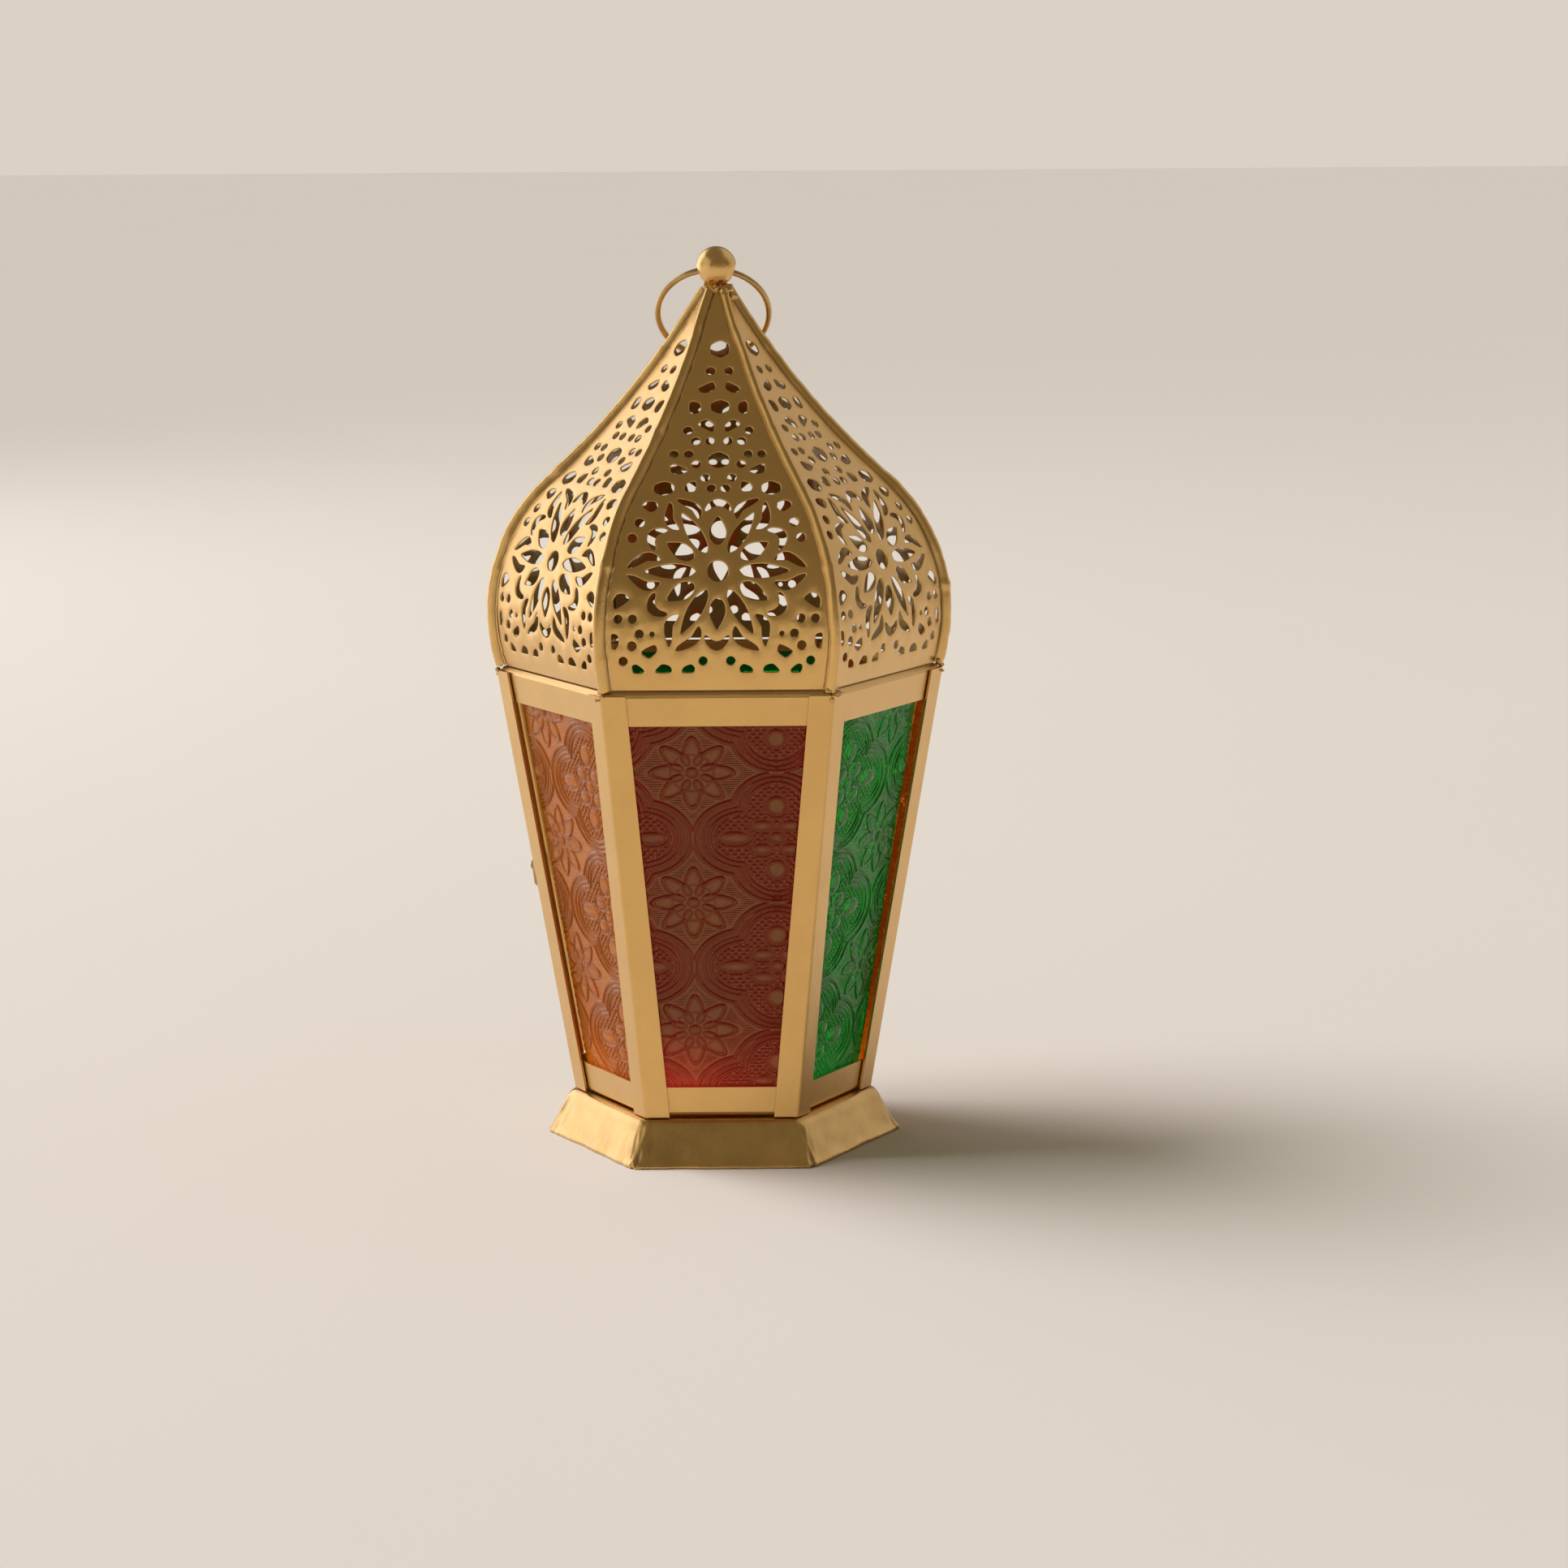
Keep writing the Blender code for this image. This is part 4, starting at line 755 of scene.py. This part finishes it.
def roof_rib(number, lumps):
    """The rib's section, swung from one foot over the crown to the other and carried up the corner line."""
    count = 340
    line = roof_corner_line(count)
    slope = np.gradient(line, axis=0)
    slope /= np.linalg.norm(slope, axis=1)[:, None]
    along = np.concatenate([[0], np.cumsum(np.hypot(*np.diff(line, axis=0).T))])
    angle = 2 * HALF_TURN * (number - 1) - math.pi / 2 - HALF_TURN
    away = np.array([math.cos(angle), math.sin(angle), 0])
    sideways = np.array([-math.sin(angle), math.cos(angle), 0])

    lump = sum(size * np.exp(-((line[:, 1] - z) / 1.3) ** 2) for z, size in lumps)
    half_wobble = 1 + 0.035 * ripple(number, along, shortest=4) + 0.16 * lump
    crown_wobble = 1 + 0.04 * ripple(number + 9, along, longest=25, shortest=3) + 0.22 * lump
    half = np.interp(along, (0, along[-1]), RIB_HALF) * half_wobble
    crown = np.interp(along, (0, along[-1]), RIB_CROWN) * crown_wobble
    sway = 0.12 * ripple(number + 19, along, longest=60, shortest=12)
    rag = np.clip(0.22 + 0.22 * ripple(number + 29, along, waves=9, longest=12, shortest=2.2), 0.02, 0.9)

    swing = np.linspace(0, math.pi, 13)[None, :]
    across = half[:, None] * np.cos(swing)
    height = crown[:, None] * np.sin(swing) ** 0.9
    strip_across = np.stack([half + 0.25 + rag, half + 0.15 + rag * 0.6, half + 0.12], axis=1)
    strip_height = np.tile([0.02, 0.16, 0.2], (count, 1))
    across = np.hstack([strip_across, across, -half[:, None] - 0.1, 0 * half[:, None]])
    height = np.hstack([strip_height, height, 0 * half[:, None], 0 * half[:, None] - 0.12])
    height[:, 3] = 0.26
    height[:, -3] = 0.12
    fall = np.abs(across) * math.tan(HALF_TURN) * (1 - 0.75 * np.clip(height / crown[:, None], 0, 1))
    outward = away * slope[:, 1:] - UP * slope[:, :1]
    centre = away * line[:, :1] + UP * line[:, 1:]
    points = (centre[:, None, :] + sideways * (across + sway[:, None])[..., None]
              + outward[:, None, :] * (height - fall + 0.08)[..., None])
    columns = points.shape[1]
    faces = grid_faces(count, columns, round_columns=True)
    faces += [list(range(columns))[::-1], list(range((count - 1) * columns, count * columns))]
    faces = [face[::-1] for face in faces]
    # painted shade along both edges of the bead, where it meets the sheet
    crease_shade = np.zeros((count, columns))
    crease_shade[:, [2, -2]] = 1.0
    crease_shade[:, [3, -3]] = 0.5
    return add_piece(f"soldered_rib_{number}", points.reshape(-1, 3), faces, rib_gold, "lantern",
                     [f"roof_rib_{number}"], sharp=60, layers={"crease_shade": crease_shade.ravel()})


RIB_LUMPS = {1: [(218, 0.6), (192.5, 1.0), (161, 0.9), (137, 0.4)], 2: [(217, 0.8), (193, 0.7), (160.5, 1.0)],
             3: [(214, 0.7), (176, 0.6), (150, 0.8)], 4: [(209, 0.8), (170, 0.6), (141, 0.7)],
             5: [(216, 0.6), (186, 0.9), (148, 0.6)], 6: [(212, 0.7), (181, 0.8), (155, 0.6)]}
for number, lumps in RIB_LUMPS.items():
    roof_rib(number, lumps)
print("ribs done")

# %% [markdown]
# ## Solder
#
# The lantern was put together with a torch, and drops of solder stayed wherever pieces meet: round the tip
# under the ball, at the foot of each rib and on the tops of the posts. A drop is a lumpy ball squashed
# against the metal. All drops are worked out at once, as an array of drops by an array of places on a ball.

# %% Solder drops
def drops(name, places, sizes, seed):
    """Each drop is the points of a ball, its radius made uneven, then scaled, turned about the upright and
    moved into place."""
    dice = np.random.default_rng(seed)
    places, sizes = np.array(places, float), np.array(sizes, float)
    around = np.linspace(0, 2 * math.pi, 18, endpoint=False)[None, :]
    down = np.linspace(0.02, math.pi - 0.02, 13)[:, None]
    ball = np.stack([np.sin(down) * np.cos(around), np.sin(down) * np.sin(around),
                     np.cos(down) + 0 * around], axis=-1)
    waves = dice.normal(size=(len(places), 5, 3)) * 2.4
    phases = dice.uniform(0, 2 * math.pi, (len(places), 5))
    lumps = np.sin(np.einsum("nwk,rck->nwrc", waves, ball) + phases[..., None, None]).sum(axis=1)
    shape = ball[None] * (1 + 0.11 * lumps)[..., None] * sizes[:, None, None, :]
    turn = dice.uniform(0, 2 * math.pi, len(places))
    c, s = np.cos(turn)[:, None, None], np.sin(turn)[:, None, None]
    x, y, z = np.moveaxis(shape, -1, 0)
    points = np.stack([x * c - y * s, x * s + y * c, z], axis=-1) + places[:, None, None, :]
    rows, columns = ball.shape[:2]
    cells = np.array(grid_faces(rows, columns, round_columns=True))[:, ::-1]
    ends = np.stack([np.arange(columns), (rows - 1) * columns + np.arange(columns)[::-1]])
    step = (np.arange(len(places)) * rows * columns)[:, None, None]
    faces = (cells[None] + step).reshape(-1, 4).tolist() + (ends[None] + step).reshape(-1, columns).tolist()
    return add_piece(name, points.reshape(-1, 3), faces, solder_gold, "lantern", sharp=0)


def round_the_axis(radius, angle, z):
    """A place at a distance from the lantern's axis, an angle round it in degrees and a height."""
    return [radius * math.cos(math.radians(angle)), radius * math.sin(math.radians(angle)), z]


TIP_DROPS = 15
TIP_RUNS = [((4.3, -62, 227.6), (1.3, 1.1, 1.0)), ((4.5, -48, 226.3), (1.1, 0.9, 1.3)),
            ((4.1, -118, 227.4), (0.9, 0.8, 1.1)), ((4.6, -20, 226.8), (1.0, 0.8, 1.2))]

dice = np.random.default_rng(3)
tip_places = [round_the_axis(2.6 + 0.5 * dice.normal(), 360 / TIP_DROPS * k + 7 * dice.normal(),
                             228.7 + 0.4 * dice.normal()) for k in range(TIP_DROPS)]
tip_sizes = [(1.25, 1.2, 0.95 + 0.25 * dice.random()) for _ in range(TIP_DROPS)]
tip_places += [round_the_axis(*place) for place, _ in TIP_RUNS]
tip_sizes += [size for _, size in TIP_RUNS]
drops("tip_solder", tip_places, tip_sizes, 5)

# From the axis, round it from the corner, up, and size.
CORNER_DROPS = ((58.9, 0, 128.9, 0.85), (59.5, 0.7, 127.9, 0.7), (59.7, -0.6, 126.6, 0.5),
                (58.8, -1.4, 129.2, 0.55))

corner_places, corner_sizes = [], []
for number in range(1, 7):
    corner = 60 * (number - 1) - 120
    big = 1.5 if number == 2 else 1.0
    for radius, swing, z, size in CORNER_DROPS:
        angle = corner + swing + 0.3 * dice.normal()
        corner_places.append(round_the_axis(radius, angle, z + 0.2 * dice.normal()))
        shares = (1, 0.75 + 0.2 * dice.random(), 0.7 + 0.5 * dice.random())
        corner_sizes.append([size * big * share for share in shares])
drops("corner_solder", corner_places, corner_sizes, 8)
print("solder drops:", len(tip_places) + len(corner_places))

# %% [markdown]
# ## The base pan
#
# The pan is one sheet pressed down over a block: a flat top, a round shoulder, a skirt that flares outwards
# and a lip rolled outwards at the foot. It is a profile carried round a hexagon with rounded corners.
# Pressing gathers the metal at the corners, so fine pleats run down the skirt there, and the skirt's edge
# is a little ragged.

# %% Base pan
def hexagon_loop(radius, corner_round, arc_steps=13, side_steps=56):
    """A closed loop round a hexagon: arcs of the corner radius, joined by evenly divided straight sides."""
    corner, swing = np.meshgrid(np.arange(6) * 2 * HALF_TURN,
                                np.linspace(-HALF_TURN, HALF_TURN, arc_steps), indexing="ij")
    middle = radius - corner_round / math.cos(HALF_TURN)
    x = middle * np.cos(corner) + corner_round * np.cos(corner + swing)
    y = middle * np.sin(corner) + corner_round * np.sin(corner + swing)
    arcs = np.stack([x, y], axis=-1)
    share = (np.arange(1, side_steps) / side_steps)[None, :, None]
    sides = arcs[:, -1:, :] * (1 - share) + np.roll(arcs[:, :1, :], -1, axis=0) * share
    return np.concatenate([arcs, sides], axis=1).reshape(-1, 2)


PAN_OUTER = [(47.2, 0), (48.0, 0.05), (48.3, 0.55), (48.05, 1.1), (47.55, 1.55), (47.0, 2.3), (46.1, 4.0),
             (45.0, 6.3), (44.0, 8.2), (43.45, 9.4), (43.0, 10.4), (42.3, 11.3), (41.3, 11.9),
             (40.2, PAN_HEIGHT), (30, PAN_HEIGHT), (16, PAN_HEIGHT), (1.3, PAN_HEIGHT)]
PAN_UNDER = PAN_HEIGHT - PAN_SHEET
PAN_INNER = [(1.3, PAN_UNDER), (16, PAN_UNDER), (30, PAN_UNDER), (40.0, PAN_UNDER), (41.0, 11.4),
             (41.9, 10.8), (42.5, 10.0), (42.9, 9.2), (43.4, 8.0), (44.4, 6.1), (45.5, 3.8), (46.4, 2.1),
             (46.9, 1.4)]
SKIRT_RADIUS = 46                          # turns an angle into millimetres along the skirt


def base_pan():
    """The profile carried round the hexagon; each point is then pushed in or out by pleats and dents."""
    profile = softened(np.array(PAN_OUTER + PAN_INNER), 1)
    profile[:, 1] = np.maximum(profile[:, 1], 0)
    loops = np.array([hexagon_loop(radius, min(3.0 + 0.4 * (radius < 43), 0.8 * radius))
                      for radius, _ in profile])
    height = np.repeat(profile[:, 1:], loops.shape[1], axis=1)
    points = np.concatenate([loops, height[..., None]], axis=2)
    x, y, z = np.moveaxis(points, -1, 0)
    turn = np.arctan2(y, x)
    radius = np.hypot(x, y)
    off_corner = np.abs((turn + HALF_TURN) % (2 * HALF_TURN) - HALF_TURN) * SKIRT_RADIUS
    skirt = np.clip((radius - 36) / 6, 0, 1) * np.clip(1 - z / 13.5, 0, 1)
    place = turn * SKIRT_RADIUS
    gathers = 0.5 - np.abs(ripple(11, place, z * 0.25, waves=6, longest=5.5, shortest=1.7))
    pleats = gathers * np.exp(-(off_corner / 4.2) ** 2)
    fine = ripple(17, place, z, waves=11, longest=6, shortest=2.4)
    broad = ripple(5, place, z, waves=11, longest=30, shortest=5)
    push = skirt * (0.5 * pleats + 0.05 * fine + 0.2 * broad)
    push -= 0.15 * np.clip((z - 7) / 3, 0, 1) * np.exp(-(off_corner / 1.6) ** 2) * (radius > 38)
    scale = 1 + (push - 0.12 * skirt) / np.maximum(radius, 1)
    lift = np.where(z > 0.8, 0.10 * ripple(8, place, longest=22, shortest=5) * skirt, 0)
    points = np.stack([x * scale, y * scale, np.maximum(z + lift, 0)], axis=-1)
    rows, columns = points.shape[:2]
    faces = [face[::-1] for face in grid_faces(rows, columns, round_rows=True, round_columns=True)]
    # painted shade in the hollows of the pleats on the skirt
    crease_shade = 0.55 * np.clip(-pleats * 1.6, 0, 1) * skirt
    return add_piece("pressed_pan", points.reshape(-1, 3), faces, pan_gold, "lantern",
                     ["base_pan"], sharp=70, layers={"crease_shade": crease_shade.ravel()})


pan = base_pan()
print("pan faces:", len(pan.data.polygons))

# %% [markdown]
# ## Pressed-glass panes
#
# The pattern was pressed into one face of a large sheet of glass, and panes were cut out of it wherever
# they fell. Rows of four-lobed frames filled with pebbles alternate with small flowers in the diamonds
# between them. It is a height over the sheet, built from the distance to simple curves: a raised line is a
# hump in that distance, and the pebbles are a product of two cosines. The pane's edges were snapped by
# hand, so they are uneven.

# %% Height of the pressed pattern
PATTERN_ACROSS, PATTERN_UP = 43.6, 35.6
PEBBLE_PITCH = 1.4


def hump(distance, width):
    """1 on a line, falling smoothly to 0 at a distance of one width."""
    return np.clip(1 - (distance / width) ** 2, 0, 1) ** 2


def egg(x, y, cx, cy, rx, ry):
    """Roughly the distance in millimetres outside an ellipse, negative inside."""
    return (np.hypot((x - cx) / rx, (y - cy) / ry) - 1) * min(rx, ry)


def four_lobed_frame(x, y):
    """Height of one frame about its middle, and the distance outside its outermost line."""
    ax, ay = np.abs(x), np.abs(y)
    lobes = np.minimum(egg(ax, y, 8.3, 0, 9.2, 7.0), egg(x, ay, 0, 6.0, 8.6, 9.0))
    outer = np.minimum(egg(ax, y, 8.3, 0, 13.3, 10.3), egg(x, ay, 0, 6.0, 12.2, 11.6))
    height = 0.50 * hump(lobes, 0.6) + 0.40 * hump(lobes - 1.25, 0.5) + 0.50 * hump(outer, 0.6)
    height += 0.22 * hump(outer + 1.1, 0.45)
    turn = 2 * math.pi / PEBBLE_PITCH / math.sqrt(2)
    cells = (np.cos((x + y) * turn) + np.cos((x - y) * turn)) / 2
    boss = np.minimum.reduce([egg(ax, y, 10.9, 0, 4.0, 1.9), egg(x, ay, 0, 8.7, 2.9, 2.8),
                              egg(x, y, 0, 0, 2.1, 1.7), egg(ax, ay, 3.7, 3.2, 2.7, 1.7)])
    pebbled = np.clip((-lobes - 0.7) * 2, 0, 1) * np.clip((boss - 0.3) * 2, 0, 1)
    height += 0.42 * np.clip(cells * 1.7 + 0.65, 0, 1) * pebbled
    height += 0.55 * np.sqrt(np.clip(-boss, 0, 1.2) / 1.2) + 0.28 * hump(boss - 0.45, 0.4)
    return height, outer


def small_flower(x, y):
    """Height of a flower, and the distance outside it: a middle, eight raised petals, and eight outlined ones
    between them. A petal is an egg shape measured along its own ray and away from it."""
    x = x / 1.14
    reach, angle = np.hypot(x, y), np.arctan2(y, x)
    eighth = math.pi / 4
    off_inner, off_outer = (reach * np.abs((angle + turn) % eighth - eighth / 2)
                            for turn in (0.0, eighth / 2))
    inner = egg(reach, off_inner, 3.9, 0, 1.9, 1.0)
    outer = egg(reach, off_outer * (1 + 0.10 * (reach - 5)), 6.3, 0, 3.1, 2.1)
    free = np.clip((reach - 4.6) * 1.5, 0, 1)
    height = 0.42 * hump(outer, 0.5) * free + 0.2 * np.clip(-outer, 0, 1) * free
    middle = 0.5 * np.sqrt(np.clip(1.5 - reach, 0, 1.5) / 1.5)
    height += 0.42 * np.sqrt(np.clip(-inner, 0, 0.9) / 0.9) + middle
    return height, np.minimum(outer, reach - 5.0)


def pressed_pattern(x, up, frame_x, frame_up):
    """Height in millimetres, and how much of the ground is hatched, with a frame's middle at a given
    place."""
    repeats = ((x, frame_x, PATTERN_ACROSS), (up, frame_up, PATTERN_UP))
    frame_cell = [(v - middle + pitch / 2) % pitch - pitch / 2 for v, middle, pitch in repeats]
    flower_cell = [(v - middle) % pitch - pitch / 2 for v, middle, pitch in repeats]
    height, outer = four_lobed_frame(*frame_cell)
    flower, beyond = small_flower(*flower_cell)
    ground = np.clip(outer - 0.6, 0, 1) * np.clip(beyond - 0.6, 0, 1)
    return height + flower * np.clip(outer / 0.6, 0, 1), ground


# %% [markdown]
# A pane starts from its place in the frame. The front one is widened until it fills its opening, and two
# others reach a little further under the posts. The patterned face is a fine grid. The back is flat, so it
# has only the points of the rim, filled by strips that run from the left edge to the right.

# %% One pane
GLASS_STEP = 0.26
GLASS_THICKNESS = 2.6
FRONT_RELIEF, OTHER_RELIEF = 0.66, 0.85    # shares of the pattern's full height
SETBACK = 0.45                             # from the frame pane's face back to the ground of the pattern
REACH_UNDER_POSTS = 0.9


def pane_corners(node, side):
    """Where a frame pane lies on its side: its ends' heights, its left and right edges there, and its
    depth."""
    across, slope, normal, foot = side_directions(side)
    points = np.array([tuple(v.co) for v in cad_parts[node].data.vertices]) / MM - foot
    x, up, depth = points @ across, points @ slope, -(points @ normal)
    ends = [x[np.abs(up - end) < 0.5] for end in (up.min(), up.max())]
    return (up.min(), up.max()), [e.min() for e in ends], [e.max() for e in ends], depth.min()


def pressed_pane(node, side, glass, body, pattern, seed):
    """A grid over the pane, its front raised by the pattern, its back flat, its edges snapped unevenly."""
    (low, high), lefts, rights, depth = pane_corners(node, side)
    if side == 0:
        _, lefts, rights, _ = pane_corners("glass_pane_4", 3)
    ups = np.linspace(low, high, int((high - low) / GLASS_STEP))
    columns = int((rights[1] - lefts[1]) / GLASS_STEP)
    snapped = [0.16 * np.abs(ripple(seed + s, ups, longest=9, shortest=1.2))
               + 0.12 * ripple(seed + s + 2, ups, longest=40) + 0.15 for s in (0, 1)]
    tucked = REACH_UNDER_POSTS if side in (2, 3) else 0.0
    left = np.interp(ups, (low, high), lefts) + snapped[0] - tucked
    right = np.interp(ups, (low, high), rights) - snapped[1] + tucked
    share = np.linspace(0, 1, columns)[None, :]
    x = left[:, None] + (right - left)[:, None] * share
    up = np.repeat(ups[:, None], columns, axis=1)
    height, ground = pressed_pattern(x, up, *pattern)
    steepness = np.hypot(np.gradient(height, axis=0), np.gradient(height, axis=1)) / GLASS_STEP
    level = np.exp(-(steepness / 0.24) ** 2)
    from_edge = np.minimum(share, 1 - share) * (right - left)[:, None]
    shoulder = np.clip(from_edge / 0.7, 0, 1)
    height = height * (0.3 + 0.7 * shoulder) - 0.3 * (1 - shoulder) ** 2
    relief = FRONT_RELIEF if side == 0 else OTHER_RELIEF
    front = on_side(side, x, up, height * relief - depth - SETBACK).reshape(-1, 3)
    rows, size = len(ups), x.size
    grid = np.arange(size).reshape(rows, columns)
    rim = np.concatenate([grid[0, :-1], grid[:-1, -1], grid[-1, :0:-1], grid[:0:-1, 0]])
    back = on_side(side, x, up, np.full_like(x, -depth - GLASS_THICKNESS)).reshape(-1, 3)[rim]
    behind = size + np.arange(len(rim))
    faces = grid_faces(rows, columns)
    faces += np.stack([np.roll(rim, -1), rim, behind, np.roll(behind, -1)], axis=1).tolist()
    lefts_up, rights_up = behind[-np.arange(rows) % len(rim)], behind[columns - 1 + np.arange(rows)]
    faces.append([lefts_up[1], rights_up[1]] + behind[:columns][::-1].tolist())
    faces += np.stack([lefts_up[1:-2], lefts_up[2:-1], rights_up[2:-1], rights_up[1:-2]], axis=1).tolist()
    top = behind[columns + rows - 2:2 * columns + rows - 2]
    faces.append([rights_up[-2], lefts_up[-2]] + top[::-1].tolist())
    points = np.concatenate([front, back])
    place = np.stack([x.ravel(), up.ravel(), np.zeros(size)], axis=1)
    spare = np.zeros(len(rim))
    layers = {"pane_place": np.vstack([place, place[rim]]), "hatched": np.append(ground, spare),
              "level": np.append(level, spare)}
    return add_piece(f"pressed_{node}", points, faces, glass, body, [node], sharp=50, layers=layers)


GLASS = {"red_glass": red_glass, "green_glass": green_glass, "orange_glass": orange_glass}
PANES = [("glass_pane_1", "red_glass", "lantern", (15.0, 6.2)),
         ("glass_pane_2", "green_glass", "lantern", (-12.6, 18.5)),
         ("glass_pane_3", "orange_glass", "lantern", (4, 12)),
         ("glass_pane_4", "green_glass", "lantern", (8, 30)),
         ("door_glass", "red_glass", "door", (-6, 31)),
         ("glass_pane_6", "orange_glass", "lantern", (12.3, 18.0))]
for side, (node, slot, body, pattern) in enumerate(PANES):
    pressed_pane(node, side, GLASS[slot], body, pattern, 100 + 7 * side)
front_pane = bpy.data.objects["pressed_glass_pane_1"]
print("panes done; faces in the front one:", len(front_pane.data.polygons))

# %% [markdown]
# ## Ball and ring
#
# The ball is turned brass with a hole bored from side to side a little below its middle. Looked at along
# the bore, the hole's edge is a circle and the ball's outline is a bigger one, so each half of the ball is
# a grid between those two circles, lifted onto the sphere. The ring is a wire bent round with its ends
# butted.

# %% Finial ball
def finial_ball():
    """For an angle round the bore and a share from its edge out to the outline: y, z, and x on the sphere."""
    angle = np.linspace(0, 2 * math.pi, 72, endpoint=False)[None, :]
    offset = BORE_Z - BALL_Z
    c, s = np.cos(angle), np.sin(angle)
    rim = -offset * s + np.sqrt(np.maximum(BALL_RADIUS ** 2 - (offset * c) ** 2, 0))
    share = np.sin(np.linspace(0, 1, 26) * math.pi / 2)[:, None]
    distance = BORE_RADIUS + (rim - BORE_RADIUS) * share
    y, z = distance * c, offset + distance * s
    x = np.sqrt(np.maximum(BALL_RADIUS ** 2 - y ** 2 - z ** 2, 0))
    right_half = np.stack([x, y, z], axis=-1)
    left_half = right_half[:-1][::-1] * (-1, 1, 1)
    points = np.concatenate([right_half, left_half]) + (0, 0, BALL_Z)
    rows, columns = points.shape[:2]
    return add_piece("turned_ball", points.reshape(-1, 3), grid_faces(rows, columns, True, True), ball_gold,
                     "lantern", ["finial_ball"], sharp=50)


finial_ball()


def hanging_ring():
    """A round wire carried round a circle; the circle leans back by the ring's rest angle."""
    tilt = math.radians(RING_LEAN)
    around = np.linspace(0, 2 * math.pi, 144, endpoint=False)[:, None]
    thick = np.linspace(0, 2 * math.pi, 18, endpoint=False)[None, :]
    butt = np.exp(-(((around - math.pi * 0.92 + math.pi) % (2 * math.pi) - math.pi) / 0.03) ** 2)
    wire = RING_WIRE / 2 * (1 + 0.012 * ripple(77, around * 15, longest=20, shortest=5) - 0.06 * butt)
    reach = RING_RADIUS + wire * np.cos(thick)
    x = -1.0 + reach * np.sin(around)
    drop = RING_RADIUS - 0.7 - reach * np.cos(around)
    side = wire * np.sin(thick)
    y = drop * math.sin(tilt) + side * math.cos(tilt)
    z = BORE_Z - drop * math.cos(tilt) + side * math.sin(tilt)
    points = np.stack([x, y, z], axis=-1)
    return add_piece("wire_ring", points.reshape(-1, 3), grid_faces(144, 18, True, True), rubbed_gold, "ring",
                     ["hanging_ring"], sharp=0)


ring = hanging_ring()
ring_slip = np.array(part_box("hanging_ring")[0]) - np.array(ring.bound_box).min(axis=0)
print("ring box against the frame's, mm:", [round(1000 * float(v), 2) for v in ring_slip])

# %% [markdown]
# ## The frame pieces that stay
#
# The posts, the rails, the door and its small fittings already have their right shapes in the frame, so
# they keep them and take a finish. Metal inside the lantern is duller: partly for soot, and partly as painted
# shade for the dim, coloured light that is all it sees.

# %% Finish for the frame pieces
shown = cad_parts
for name, node in shown.items():
    if name.startswith(("corner_post", "top_rail", "bottom_rail", "door_frame")):
        finish = sheet_gold
    elif name.startswith(("candle_cup", "finial_stem")):
        finish = inner_gold
    elif name.startswith(("door_knob", "latch", "hinge", "post_knuckle", "door_knuckle")):
        finish = rubbed_gold
    else:
        continue
    for place in node.material_slots:
        place.material = finish
print("frame pieces:", len(shown))
